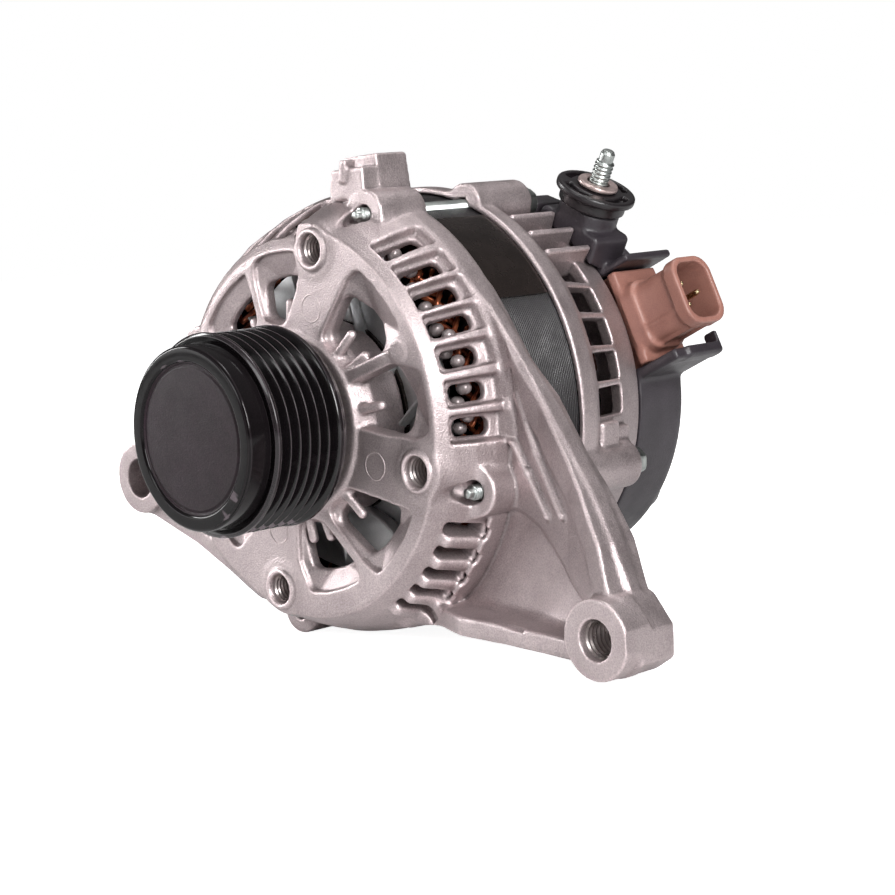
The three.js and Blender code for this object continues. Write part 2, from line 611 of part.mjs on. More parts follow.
add("slip_ring_rear", slipRing(BRUSH_Y[1]), COPPER);
add("stator_core", statorCore(), LAMINATION);
add("stator_coil_end_front", coilEnd(39.5, STATOR_FRONT - GAP, 39.5), COPPER);
add("stator_coil_end_rear", coilEnd(STATOR_REAR + GAP, 103.5, 103.5), COPPER);
add("stator_side_plate", statorPlate(), SHEET);
add("rear_housing", rearHousing(), CAST);
add("rear_bearing_outer_race", rearBearing(13.6, REAR_BEARING.outer), STEEL);
add("rear_bearing_inner_race", rearBearing(REAR_BEARING.bore, 10.2), STEEL);
BOLT_ANGLES.forEach((a, i) => add(`through_bolt_${i + 1}`, throughBolt(a), ZINC));
add("rectifier_plate_inner", rectifierPlate(20, 36, 120, 122, [160, 205, 250, 295], 28, [121.9, 127.9]), STEEL);
add("rectifier_plate_outer", rectifierPlate(37.5, 53.5, 123.5, 126, [150, 190, 240, 285], 44.2, [119.6, 125]), STEEL);
add("rectifier_terminal_block", terminalBlock(), BLACK_PLASTIC);
add("brush_holder", brushHolder(), BLACK_PLASTIC);
BRUSH_Y.forEach((y, i) => {
  const side = i ? "rear" : "front";
  add(`brush_${side}`, brush(y), CARBON);
  add(`brush_spring_${side}`, brushSpring(y), STEEL);
});
add("regulator_connector", regulator(), BROWN_PLASTIC);
PIN_OFFSETS.forEach(([y, t], i) => add(`connector_pin_${i + 1}`, pinRod(y, t, 52, 75, 0.9), BRASS));
add("rear_cover", rearCover(), GREY_PLASTIC);
COVER_STUDS.forEach((a, i) => add(`cover_nut_${i + 1}`, coverNut(a), ZINC));
add("terminal_insulator", terminalInsulator(), BLACK_PLASTIC);
add("terminal_washer", terminalWasher(), ZINC);
add("terminal_stud", terminalStud(), ZINC);

// Stand the whole part on the floor, centred over the origin.
const part = new THREE.Group();
part.add(alternator);
part.updateMatrixWorld(true);
const box = new THREE.Box3().setFromObject(part, true);
const middle = box.getCenter(new THREE.Vector3());
alternator.position.set(-middle.x, -middle.y, -box.min.z);

export default part;
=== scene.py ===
import json
import math
import bmesh
import bpy
import numpy as np
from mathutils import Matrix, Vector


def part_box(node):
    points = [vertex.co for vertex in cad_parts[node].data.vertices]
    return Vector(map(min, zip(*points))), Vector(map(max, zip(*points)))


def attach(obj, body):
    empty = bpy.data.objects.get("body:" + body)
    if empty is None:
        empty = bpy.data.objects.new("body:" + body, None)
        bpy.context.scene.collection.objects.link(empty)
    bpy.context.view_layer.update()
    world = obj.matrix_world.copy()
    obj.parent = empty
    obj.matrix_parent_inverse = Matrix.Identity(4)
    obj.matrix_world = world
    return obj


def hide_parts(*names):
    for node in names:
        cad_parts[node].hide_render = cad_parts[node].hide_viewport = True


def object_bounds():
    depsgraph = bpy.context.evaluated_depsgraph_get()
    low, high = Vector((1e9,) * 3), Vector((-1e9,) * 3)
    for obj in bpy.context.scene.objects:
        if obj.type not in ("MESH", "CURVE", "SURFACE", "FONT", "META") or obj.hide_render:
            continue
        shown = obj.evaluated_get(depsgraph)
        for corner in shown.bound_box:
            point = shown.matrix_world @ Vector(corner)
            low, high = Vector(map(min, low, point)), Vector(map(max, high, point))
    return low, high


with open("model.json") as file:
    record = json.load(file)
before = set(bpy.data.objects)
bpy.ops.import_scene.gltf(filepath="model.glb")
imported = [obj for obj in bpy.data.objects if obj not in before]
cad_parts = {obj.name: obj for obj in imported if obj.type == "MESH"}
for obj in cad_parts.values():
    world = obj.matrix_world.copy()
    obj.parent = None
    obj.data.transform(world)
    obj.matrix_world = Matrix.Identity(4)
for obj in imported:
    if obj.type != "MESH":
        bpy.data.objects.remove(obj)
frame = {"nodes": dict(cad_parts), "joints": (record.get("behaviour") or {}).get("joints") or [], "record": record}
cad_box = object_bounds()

import openvdb
from mathutils import Matrix, Vector

# ---------------------------------------------------------------- rotor frame
# Shapes are laid out in the rotor frame, in millimetres: Y along the rotor axis from the belt pulley,
# X and Z across it, y = 0 at the first belt groove. It is the row frame turned about Y and shifted.
TILT = math.radians(5.4)
PIVOT = next(j for j in frame["joints"] if j["name"] == "rotor_spin")["pos_m"]
GROOVE_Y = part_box("pulley")[0].y + 0.0037
# The distance that a field holds, in millimetres, before anything is in it.
FAR = 9


def place(points):
    """Rotor frame points in millimetres, as row frame points in metres."""
    p = np.asarray(points, np.float64).reshape(-1, 3) / 1000
    c, s = math.cos(TILT), math.sin(TILT)
    return np.column_stack([p[:, 0] * c + p[:, 2] * s + PIVOT[0], p[:, 1] + GROOVE_Y,
                            p[:, 2] * c - p[:, 0] * s + PIVOT[2]])


def direction(v):
    return Vector(place([v])[0] - place([(0, 0, 0)])[0]).normalized()


def polar(r, deg):
    a = math.radians(deg)
    return r * math.cos(a), r * math.sin(a)


def ring_point(r, deg, y):
    x, z = polar(r, deg)
    return x, y, z


def slanted(phi, rho, y, across):
    """The point at a radius along angle phi and some way across it."""
    c, s = polar(1, phi)
    return rho * c - across * s, y, rho * s + across * c


def upright(x, z):
    """The frame of a turned piece whose axis runs parallel to the rotor's through x, z."""
    return (x, 0, z), (0, 1, 0), (1, 0, 0)


# ---------------------------------------------------------------- distance fields
def smin(a, b, k):
    if k <= 0:
        return np.minimum(a, b)
    h = np.maximum(k - np.abs(a - b), 0) / k
    return np.minimum(a, b) - h * h * (k * 0.25)


def smax(a, b, k):
    return -smin(-a, -b, k)


def polygon(x, z, pts):
    """Signed distance to a closed outline, negative inside."""
    x, z = np.broadcast_arrays(x, z)
    best = np.full(x.shape, 1e9, np.float32)
    inside = np.zeros(x.shape, bool)
    pts = np.asarray(pts, np.float32)
    for (ax, az), (bx, bz) in zip(pts, np.roll(pts, -1, 0)):
        ex, ez = bx - ax, bz - az
        wx, wz = x - ax, z - az
        t = np.clip((wx * ex + wz * ez) / (ex * ex + ez * ez), 0, 1)
        best = np.minimum(best, (wx - ex * t) ** 2 + (wz - ez * t) ** 2)
        if az != bz:
            inside ^= ((az > z) != (bz > z)) & (wx < ex * wz / ez)
    return np.where(inside, -1, 1) * np.sqrt(best)


def rounded(points, radius=2.0, steps=4):
    """An outline with its corners rounded. A point may carry its own radius as a third number."""
    made = []
    n = len(points)
    for i, p in enumerate(points):
        a, b, c = np.array(points[i - 1][:2]), np.array(p[:2]), np.array(points[(i + 1) % n][:2])
        r = p[2] if len(p) > 2 else radius
        u, v = (a - b), (c - b)
        lu, lv = np.linalg.norm(u), np.linalg.norm(v)
        u, v = u / lu, v / lv
        half = math.acos(max(-1.0, min(1.0, float(u @ v)))) / 2
        reach = min(r / max(math.tan(half), 1e-3), lu * 0.45, lv * 0.45)
        if reach < 0.05:
            made.append(b)
            continue
        for k in range(steps + 1):
            t = k / steps
            made.append((1 - t) ** 2 * (b + u * reach) + 2 * t * (1 - t) * b + t ** 2 * (b + v * reach))
    return np.array(made)


class Field:
    """A solid as a grid of distances in millimetres. A shape is (function, low corner, high corner)."""

    def __init__(self, lo, hi, voxel):
        self.h = voxel * 1.0
        self.lo = lo
        count = [int(math.ceil((b - a) / self.h)) + 1 for a, b in zip(lo, hi)]
        axes = [(np.arange(n) * self.h + a).astype(np.float32) for n, a in zip(count, lo)]
        self.x, self.y, self.z = axes[0][:, None, None], axes[1][None, :, None], axes[2][None, None, :]
        self.d = np.full(count, FAR, np.float32)

    def _part(self, lo, hi, pad):
        out = []
        for i in range(3):
            a = int((lo[i] - pad - self.lo[i]) / self.h)
            b = int((hi[i] + pad - self.lo[i]) / self.h) + 2
            out.append(slice(max(a, 0), max(min(b, self.d.shape[i]), 0)))
        return tuple(out)

    def _at(self, shape, k):
        f, lo, hi = shape
        s = self._part(lo, hi, k + 2)
        return s, f(self.x[s[0]], self.y[:, s[1]], self.z[:, :, s[2]])

    def add(self, shape, k=1.0):
        s, v = self._at(shape, k)
        self.d[s] = smin(self.d[s], v, k)

    def cut(self, shape, k=0.8):
        s, v = self._at(shape, k)
        self.d[s] = smax(self.d[s], -v, k)

    def mesh(self, name, band=3.0):
        self.d[[0, -1]] = band
        self.d[:, [0, -1]] = band
        self.d[:, :, [0, -1]] = band
        grid = openvdb.FloatGrid(band)
        grid.copyFromArray(np.clip(self.d, -band, band))
        points, quads = grid.convertToQuads(isovalue=0)
        points = np.asarray(points, np.float64) * self.h + np.array(self.lo)
        obj = make_mesh(name, place(points), quads)
        drop_crumbs(obj)
        return obj


def make_mesh(name, points, faces, smooth=True):
    """A mesh object from arrays, its faces turned outwards."""
    faces = np.asarray(faces, np.int64)
    n = faces.shape[1]
    a, b, c = (points[faces[:, i]] for i in range(3))
    volume = np.einsum("ij,ij->i", a, np.cross(b, c)).sum()
    if n == 4:
        volume += np.einsum("ij,ij->i", a, np.cross(c, points[faces[:, 3]])).sum()
    if volume < 0:
        faces = faces[:, ::-1]
    mesh = bpy.data.meshes.new(name)
    mesh.vertices.add(len(points))
    mesh.vertices.foreach_set("co", np.asarray(points, np.float32).ravel())
    mesh.loops.add(faces.size)
    mesh.loops.foreach_set("vertex_index", faces.ravel().astype(np.int32))
    mesh.polygons.add(len(faces))
    mesh.polygons.foreach_set("loop_start", np.arange(0, faces.size, n, dtype=np.int32))
    mesh.polygons.foreach_set("use_smooth", np.full(len(faces), smooth))
    mesh.update()
    mesh.validate()
    obj = bpy.data.objects.new(name, mesh)
    bpy.context.scene.collection.objects.link(obj)
    return obj


def drop_crumbs(obj, keep=0.02):
    """Removes loose specks: islands with under a small share of the largest one's vertices."""
    mesh = obj.data
    n = len(mesh.vertices)
    edges = np.empty(len(mesh.edges) * 2, np.int32)
    mesh.edges.foreach_get("vertices", edges)
    edges = edges.reshape(-1, 2)
    label = np.arange(n)
    while True:
        low = np.minimum(label[edges[:, 0]], label[edges[:, 1]])
        new = label.copy()
        np.minimum.at(new, edges[:, 0], low)
        np.minimum.at(new, edges[:, 1], low)
        new = new[new]
        new = new[new]
        if (new == label).all():
            break
        label = new
    names, size = np.unique(label, return_counts=True)
    small = set(names[size < keep * size.max()].tolist())
    if not small:
        return
    bm = bmesh.new()
    bm.from_mesh(mesh)
    bm.verts.ensure_lookup_table()
    bmesh.ops.delete(bm, geom=[bm.verts[i] for i in range(n) if label[i] in small], context="VERTS")
    bm.to_mesh(mesh)
    bm.free()


# ---- shapes for fields ----
def cyl(cx, cz, r, y0, y1, e=0.5, taper=0.0):
    """A cylinder along Y. Its radius grows by taper per millimetre."""
    def f(x, y, z):
        q = np.hypot(x - cx, z - cz) - r - taper * (y - y0)
        return smax(q, np.maximum(y0 - y, y - y1), e)
    w = r + abs(taper) * (y1 - y0)
    return f, (cx - w, y0, cz - w), (cx + w, y1, cz + w)


def slab(points, y0, y1, e=0.8, grow=0.0):
    """An outline in X and Z extruded along Y. y0 and y1 may be functions of x and z."""
    pts = np.asarray(points, float)

    def f(x, y, z):
        q = polygon(x, z, pts) - grow
        low = y0(x, z) if callable(y0) else y0
        high = y1(x, z) if callable(y1) else y1
        return smax(q, np.maximum(low - y, y - high), e)
    ys = [20 if callable(y0) else y0, 70 if callable(y1) else y1]
    return f, (pts[:, 0].min(), ys[0], pts[:, 1].min()), (pts[:, 0].max(), ys[1], pts[:, 1].max())


def spun(profile, soft=0.0):
    """A profile of (radius, y) points turned round the rotor axis."""
    pts = np.asarray(profile, float)

    def f(x, y, z):
        r = np.hypot(x, z)[:, 0, :]
        rr = np.arange(0, r.max() + 1, 0.2, dtype=np.float32)
        ys = y[0, :, 0]
        table = polygon(rr[:, None], ys[None, :], pts) - soft
        out = np.empty((r.shape[0], len(ys), r.shape[1]), np.float32)
        for j in range(len(ys)):
            out[:, j, :] = np.interp(r, rr, table[:, j])
        return out
    w = pts[:, 0].max()
    return f, (-w, pts[:, 1].min(), -w), (w, pts[:, 1].max(), w)


def radial_slot(phi, rho0, rho1, half, y0, y1, corner, e=0.6, flare=0.0, cone=0.0):
    """A rounded slot seen along the radius at angle phi. flare widens it outwards, cone tilts its floor."""
    c, s = polar(1, phi)
    mid, hy = (y0 + y1) / 2, (y1 - y0) / 2

    def f(x, y, z):
        t = z * c - x * s
        rho = x * c + z * s - cone * (y - mid)
        grow = flare * (rho - rho0)
        qx = np.abs(t) - half - grow + corner
        qy = np.abs(y - mid) - hy - grow + corner
        q = np.hypot(np.maximum(qx, 0), np.maximum(qy, 0)) + np.minimum(np.maximum(qx, qy), 0) - corner
        return smax(q, np.maximum(rho0 - rho, rho - rho1), e)
    return f, *around([(rho0, -half), (rho0, half), (rho1, -half), (rho1, half)], phi, y0, y1,
                      2 + flare * (rho1 - rho0))


def around(pairs, phi, y0, y1, pad):
    """Corners of the box round some (radius, across) points at angle phi."""
    p = np.array([slanted(phi, r, 0, t)[::2] for r, t in pairs])
    lo, hi = p.min(0) - pad, p.max(0) + pad
    return (lo[0], y0 - pad, lo[1]), (hi[0], y1 + pad, hi[1])


def bar(a, b, ra, rb=None):
    """A round bar with domed ends between two points."""
    a, b = np.array(a, float), np.array(b, float)
    rb = ra if rb is None else rb
    d = b - a
    n2 = float(d @ d)

    def f(x, y, z):
        t = np.clip(((x - a[0]) * d[0] + (y - a[1]) * d[1] + (z - a[2]) * d[2]) / n2, 0, 1)
        q = np.sqrt((x - a[0] - d[0] * t) ** 2 + (y - a[1] - d[1] * t) ** 2 + (z - a[2] - d[2] * t) ** 2)
        return q - (ra + (rb - ra) * t)
    w = max(ra, rb)
    return f, tuple(np.minimum(a, b) - w), tuple(np.maximum(a, b) + w)


def block(centre, half, phi=0.0, corner=0.8):
    """A rounded box, its half sizes given along the radius at phi, along Y and across."""
    cx, cy, cz = centre
    c, s = polar(1, phi)

    def f(x, y, z):
        rho = (x - cx) * c + (z - cz) * s
        t = (z - cz) * c - (x - cx) * s
        q = [np.abs(d) - h + corner for d, h in zip((rho, y - cy, t), half)]
        out = np.sqrt(sum(np.maximum(d, 0) ** 2 for d in q))
        return out + np.minimum(np.maximum(np.maximum(q[0], q[1]), q[2]), 0) - corner
    w = float(np.linalg.norm(half))
    return f, (cx - w, cy - w, cz - w), (cx + w, cy + w, cz + w)


def both(a, b, k=0.6):
    """What two shapes share."""
    lo = tuple(max(p, q) for p, q in zip(a[1], b[1]))
    hi = tuple(min(p, q) for p, q in zip(a[2], b[2]))
    return (lambda x, y, z: smax(a[0](x, y, z), b[0](x, y, z), k)), lo, hi


# ---------------------------------------------------------------- dimensions
GROOVE_PITCH, GROOVES = 3.56, 6
BOLT_R, BOLT_HOLE = 63.2, 3.0
BOLTS = [74.8, -13.2, -103.5, 166.5]
BOSS_FRONT = 43.5
LUG_REAR = 107.0
LUG_R = 7.3
PULLER_R = 52.17
PULLERS = [80.97, -9.03, -99.03, 170.97]
FACE = 31.0
RIGHT_EAR, LEFT_EAR = (119.0, -44.5), (-75.84, -26.52)
EAR_FRONT, EAR_REAR = 29.75, 49.5
# Each slot of the front drum: its angle, and how far it reaches back between 0 and 1.
FRONT_SLOTS = [(58.6, 1.0), (49.0, 1.0), (40.4, 1.0), (31.8, 1.0), (22.7, 0.1), (13.2, 0.0), (3.9, 0.0)]
NARROW_SLOTS = [-23.6, -31.0, -38.4, -45.6, -52.6]
# Vents under the left arm, which are cut before the arm is added, and vents at the top.
FAR_SLOTS = [-117 - 8.2 * i for i in range(8)]
TOP_SLOTS = [91.5 + 8.9 * i for i in range(7)]
STUD_ANGLE, STUD_FOOT = 66.5, (38.2, 120.0, 66.1)
PLUG_ANGLE, PLUG_Y, SOCKET_SHIFT = 28.0, 128.0, -1.2
PIN_PLACES = [(-3.2, 3.2), (-3.2, -3.6), (2.6, 0)]
COVER_NUT_R, COVER_NUTS = 50.2, (112, 215, 324)
RIB_ANGLES = (52, 39, 14, -3, -24, -44, -71, -84, 98, 128, 150, 172, 198, 222, 245)


# ---------------------------------------------------------------- front housing
def arm_front(x, z):
    return np.interp(x, [60, 80, 95, 108, 118, 130], [53.5, 49.5, 44.5, 38.5, 34.5, 33.5]).astype(np.float32)


def arm_rear(x, z):
    return np.interp(x, [60, 80, 95, 115, 125], [60.2, 58.3, 54.3, 51.2, 49.5]).astype(np.float32)


def window(frame_points, hole_points):
    """A dished opening in the front face: a sloping frame and the hole inside it."""
    lip = rounded(frame_points, 4)
    hole = rounded(hole_points, 3)

    def dish(x, y, z):
        q = polygon(x, z, lip)
        floor = FACE + 1.5 - 0.42 * np.maximum(q, -11)
        return smax(smax(q, y - floor, 1.0), 24 - y, 0.5)
    lo, hi = lip.min(0), lip.max(0)
    return [((dish, (lo[0], 24, lo[1]), (hi[0], 37, hi[1])), 0.7), (slab(hole, 20, 48, 0.5, 0.9), 0.9)]


def arc_points(r, a0, a1, n=4):
    return [polar(r, a0 + (a1 - a0) * i / (n - 1)) for i in range(n)]


WINDOW_SHAPES = [
    ([(10.6, 25.8), (22.3, 43.6), *arc_points(54.3, 60.5, 36.0), (43.2, 28.5), (39.5, 25.2), (20.5, 17.0)],
     [(13.4, 26.4), (19.5, 37.0), *arc_points(43.6, 60.5, 37.5), (34.2, 24.6), (22.0, 19.2)]),
    ([(22.0, 13.4), (41.5, 21.4), (47.5, 21.0), *arc_points(56.0, 21.5, 3.0), (50.0, 0.8), (25.0, 1.4)],
     [(25.0, 13.2), (40.8, 20.0), *arc_points(45.6, 23.5, 3.5), (40.5, 1.6), (27.5, 2.8)]),
    ([(20.5, -16.6), (42.0, -19.2), *arc_points(53.0, -22.0, -50.0), (27.5, -37.2), (12.5, -25.4)],
     [(23.5, -18.2), (39.0, -20.0), *arc_points(45.4, -27.0, -50.5), (15.5, -26.6)]),
    ([(10.6, -28.0), (24.3, -38.6), *arc_points(50.8, -58.5, -85.0), (-0.2, -42.0), (-0.4, -29.0)],
     [(11.0, -30.4), (21.3, -38.0), *arc_points(43.4, -62.5, -85.5), (0.8, -30.6)]),
    ([(-5.2, 28.2), (1.6, 43.0), *arc_points(50.4, 89.5, 112.0), (-18.4, 40.0), (-14.2, 28.6)],
     [(-5.0, 30.0), (0.0, 40.5), *arc_points(42.0, 93.0, 111.5), (-13.4, 30.4)]),
    ([(-17.2, 27.6), (-21.6, 40.0), *arc_points(48.2, 118.5, 147.0), (-40.0, 21.5), (-25.0, 19.0)],
     [(-18.2, 29.0), (-21.4, 37.0), *arc_points(42.0, 121.0, 144.0), (-26.0, 21.6)]),
    ([(-21.5, 15.4), (-40.5, 17.6), *arc_points(48.2, 158.5, 186.0), (-41.0, -5.0), (-26.0, -3.0)],
     [(-24.5, 14.2), (-38.0, 15.0), *arc_points(43.0, 160.0, 183.0), (-28.0, -1.6)]),
    ([(-22.0, -18.0), (-38.0, -20.5), *arc_points(52.0, 207.0, 236.0), (-22.0, -36.0), (-17.5, -26.0)],
     [(-24.5, -18.6), (-36.0, -21.0), *arc_points(43.0, 210.5, 233.0), (-19.5, -28.0)]),
]


def drum_slot(g, angle, y0, y1):
    """A vent of the front drum: a flared recess with a rounded hole in its floor."""
    g.cut(radial_slot(angle, 60.6, 67.4, 3.6, 35.4, 51.4, 1.2, 0.8, flare=0.20, cone=0.30), 0.45)
    g.cut(radial_slot(angle, 48, 76, 2.6, y0, y1, 2.0, 0.4), 0.5)


def front_housing():
    g = Field((-92, 26, -76), (133, 64.5, 83), 0.55)
    outer = rounded([(0, FACE + 1.5), (24, FACE - 0.4), (58.3, FACE - 0.2, 0.9), (61.2, 36, 2),
                     (63.6, 42, 3), (65.4, 48, 3), (66.3, 54), (66.4, 60.4, 0.6), (0, 60.4, 0.1)], 1.0)
    g.add(spun(outer), 0)
    # The rim slopes back on the upper left.
    beyond = [(50.0, 20), (50.0, 30.4), (54.4, 34.2), (58.5, 40.6), (62.7, 49.6), (66.4, 60.4),
              (80, 60.4), (80, 20)]
    sector = [polar(r, a) for r, a in ((20, 92), (90, 87.5), (110, 130), (110, 165), (90, 205), (20, 198))]
    g.cut(both(spun(beyond), slab(sector, 20, 70, 2.0), 2.5), 1.2)
    for a in BOLTS:
        g.add(cyl(*polar(BOLT_R, a), LUG_R, BOSS_FRONT, 62.0, 0.8), 2.2)
        g.add(block(ring_point(58, a, 52), (7, 8.4, 7.2), a, corner=1.0), 1.8)
    for a in PULLERS:
        g.add(cyl(*polar(PULLER_R, a), 7.6, FACE + 0.4, 44, 1.2, taper=0.12), 2.6)
    for a in NARROW_SLOTS:
        g.add(bar(ring_point(61.9, a - 3.5, 38.4), ring_point(64.2, a - 3.5, 47.4), 2.5, 2.7), 0.8)
        g.add(bar(ring_point(65.2, a - 1.2, 48.8), ring_point(66.2, a - 1.2, 52), 0.8), 0.5)
    for a in FAR_SLOTS:
        drum_slot(g, a, 37.2, 49.4)
    right_arm(g)
    left_arm(g)
    upper_lug(g)
    hollow = rounded([(28.4, 36.5, 2), (53.6, 37.6, 3), (57.0, 42.0, 2), (60.4, 50.0, 2), (61.2, 55.9, 0.2),
                      (64.35, 55.9, 0.2), (64.35, 66), (0, 66), (0, 47.4), (26.6, 47.4, 1)], 1.0)
    g.cut(spun(hollow), 0.5)
    for lip, hole in WINDOW_SHAPES:
        for shape, k in window(lip, hole):
            g.cut(shape, k)
    for a, wide in FRONT_SLOTS:
        drum_slot(g, a, 36.8 + 0.7 * (1 - wide), 48.4 + 2.0 * wide)
    for a in TOP_SLOTS:
        g.cut(radial_slot(a, 51.8, 76, 3.3, 34.8, 55.6, 1.5, 0.4), 0.4)
    for a in NARROW_SLOTS:
        g.cut(radial_slot(a, 48, 70, 1.45, 36.8, 47.6, 1.2, 0.4, flare=0.03), 0.6)
    # Hub cone with its short ribs, seen inside the windows.
    hub = [(18, 29.4), (26.5, 29.4, 1.5), (29.2, 36.0, 1), (29.2, 47.3, 1), (18, 47.3)]
    g.add(spun(rounded(hub, 0.5)), 1.0)
    for a in RIB_ANGLES:
        g.add(bar(ring_point(27, a, 32.4), ring_point(35, a, 33.6), 1.45), 0.8)
    x, z = polar(50.7, 30.1)
    g.add(cyl(x, z, 3.5, FACE - 0.9, 36, 0.5), 0.8)
    g.cut(cyl(0, 0, 19.2, 20, 40, 0.4), 0.3)
    g.cut(cyl(0, 0, 23.8, 32.7, 70, 0.4), 0.2)
    for a in PULLERS:
        g.add(cyl(*polar(PULLER_R, a), 6.1, FACE - 1.7, 40, 0.5), 0.5)
        g.cut(cyl(*polar(PULLER_R, a), 4.5, 20, 46, 0.1), 0.3)
        g.cut(cyl(*polar(PULLER_R, a), 5.3, 24, FACE - 0.8, 0.1, taper=-0.1), 0.3)
    for a in BOLTS:
        pocket = ring_point(BOLT_R * 0.99, a, BOSS_FRONT - 1.6)
        g.cut(bar(pocket, ring_point(BOLT_R * 0.945, a, BOSS_FRONT - 3.6), 3.9, 3.0), 0.6)
        g.cut(cyl(*polar(BOLT_R, a), BOLT_HOLE, 20, 70, 0.1), 0.3)
    for (x, z), r in ((RIGHT_EAR, 5.6), (LEFT_EAR, 6.2)):
        g.cut(cyl(x, z, r, 20, 60, 0.1), 0.2)
        g.cut(cyl(x, z, r + 1.5, 20, EAR_FRONT + 1.8, 0.2, taper=-0.15), 0.3)
    return keep_inside(g.mesh("front_casting"))


def polyline(x, z, pts):
    """Distance to a run of straight lines through the points."""
    x, z = np.broadcast_arrays(x, z)
    best = np.full(x.shape, 1e9, np.float32)
    pts = np.asarray(pts, np.float32)
    for (ax, az), (bx, bz) in zip(pts[:-1], pts[1:]):
        ex, ez = bx - ax, bz - az
        t = np.clip(((x - ax) * ex + (z - az) * ez) / (ex * ex + ez * ez), 0, 1)
        best = np.minimum(best, np.hypot(x - ax - ex * t, z - az - ez * t))
    return best


def wall(pts, half, y0, y1, e=1.4):
    """A wall of even thickness along a run of points."""
    p = np.asarray(pts, float)

    def f(x, y, z):
        low = y0(x, z) if callable(y0) else y0
        high = y1(x, z) if callable(y1) else y1
        return smax(polyline(x, z, p) - half, np.maximum(low - y, y - high), e)
    lo, hi = p.min(0) - half, p.max(0) + half
    return f, (lo[0], 28, lo[1]), (hi[0], 63, hi[1])


ARM_TOP = [(48.6, 37.6), (55.6, 31.2), (66.4, 18.8), (76.6, 10.8), (91.6, -3.6), (100.4, -11.6),
           (110.6, -23.2), (115.8, -34.8), (119.6, -44)]
ARM_BOTTOM = [(-12, -59.4), (6, -59.6), (24, -57.2), (46, -53.4), (80, -51.4), (106, -50.6), (114, -50.0)]
ARM_WEB = [(40, 50), (58, 36), (71, 22), (80, 13.2), (95, -1.2), (104, -9.2), (115, -21.6), (121, -33),
           (127, -44), (118, -53), (106, -54), (46, -54.8), (20, -60), (0, -62), (-6, -55),
           (30, -40), (44, 0)]
ARM_SHOULDER = [(50, 38), (58, 31), (66, 19), (76.6, 10.8), (91.6, -3.6), (100.4, -11.6), (108, -24),
                (111, -36), (105, -39), (98, -36), (92, -31), (86, -26.6), (80, -22.6), (73, -20.4),
                (66, -19), (61, -19), (60, -8), (62, 6), (58, 22)]
ARM_FLUTES = [((65.0, 53.0, 15), (67.4, 52.2, 0), (74.4, 51.0, -8.4), (84.4, 48.8, -19)),
              ((69.6, 52.2, 13.2), (78.4, 50.4, -2.4), (92.4, 45.8, -17.4))]


def right_arm(g):
    ex, ez = RIGHT_EAR

    def floor(x, z):
        depth = [54.6, 54.2, 53.2, 49.4, 45.4, 41.8]
        return np.interp(np.hypot(x, z), [62, 67, 74, 90, 105, 118], depth).astype(np.float32)

    def back(x, z):
        return np.maximum(floor(x, z) + 3.6, arm_rear(x, z) - 5.5)

    def flange_front(x, z):
        return np.interp(x, [0, 30, 44, 60, 110], [50, 48.6, 45.0, 38, 34.6])
    g.add(slab(rounded(ARM_WEB, 3), floor, back, 0.8), 1.6)
    g.add(wall(ARM_TOP, 4.3, arm_front, arm_rear, 1.0), 2.6)
    g.add(wall(ARM_BOTTOM, 2.9, flange_front, 54.0, 1.2), 3.4)
    g.add(cyl(ex, ez, 11.2, EAR_FRONT, 40, 0.5), 1.0)
    g.add(wall(arc_points(67.3, -19, -58, 12), 0.8, 46.8, 56, 0.5), 0.5)
    g.add(wall(arc_points(64.6, -57, -63, 4), 2.0, 45.4, 56, 1.5), 2.4)
    g.add(slab(rounded(ARM_SHOULDER, 3), lambda x, z: arm_front(x, z) + 1.0,
               lambda x, z: arm_rear(x, z) - 1, 0.9), 1.4)
    for flute in ARM_FLUTES:
        for a, b in zip(flute[:-1], flute[1:]):
            g.add(bar(a, b, 1.2), 0.9)
    g.cut(bar((62, 40.2, -45.6), (86, 36.6, -48.6), 2.4, 0.8), 0.6)
    heel = rounded([(ex - 9, ez + 9), (ex + 3, ez + 11.2), (ex + 10.6, ez + 3, 2), (ex + 11.0, ez - 6.0, 2),
                    (ex + 4, ez - 11.0, 4), (ex - 8, ez - 8)], 3)
    g.add(slab(heel, 36, EAR_REAR, 0.7), 1.2)


def left_arm(g):
    ex, ez = LEFT_EAR
    outline = [(ex - 4, ez - 9.6), (-20, -53.6), (-14, -44), (-40, -10), (-50, 16), (-58, 10),
               (ex + 3, ez + 10.2)]
    g.add(slab(rounded(outline, 3), 38.5, 46.5, 0.8), 2.0)
    g.add(wall([(ex, ez - 8.4), (-50, -42), (-20, -54)], 2.6, 32.5, 49, 0.9), 2.0)
    g.add(wall([(ex + 6, ez + 7.6), (-60, 0), (-54, 14)], 2.6, 35, 50, 0.9), 2.0)
    g.add(cyl(ex, ez, 11.3, EAR_FRONT, EAR_REAR, 0.6), 1.2)


def upper_lug(g):
    foot = [(-9.5, 54), (-7.6, 60), (-1.6, 68.6, 3), (8.0, 70.8, 2), (15.6, 71.2, 3), (17.6, 62), (14, 54)]
    g.add(slab(rounded(foot, 3), 49.0, 58, 1.5), 1.6)
    g.add(bar((9.6, 48.6, 60), (9.0, 48.4, 67.2), 5.0, 3.6), 1.0)
    tall = rounded([(-1.0, 64), (0.0, 76.4, 0.8), (14.6, 78.6, 0.8), (16.8, 68.0, 0.8), (16.4, 64)], 0.8)
    g.add(slab(tall, 50.0, 62.4, 0.4), 0.5)
    low = rounded([(1.2, 64), (2.2, 73.2, 0.8), (15.4, 75.0, 0.8), (16.6, 66)], 0.8)
    g.add(slab(low, 43.6, 52, 0.4), 0.5)
    prong = rounded([(6.2, 70), (7.0, 76.4, 0.4), (9.4, 76.8, 0.4), (9.0, 70)], 0.4)
    g.add(slab(prong, 42.6, 47, 0.5), 0.8)


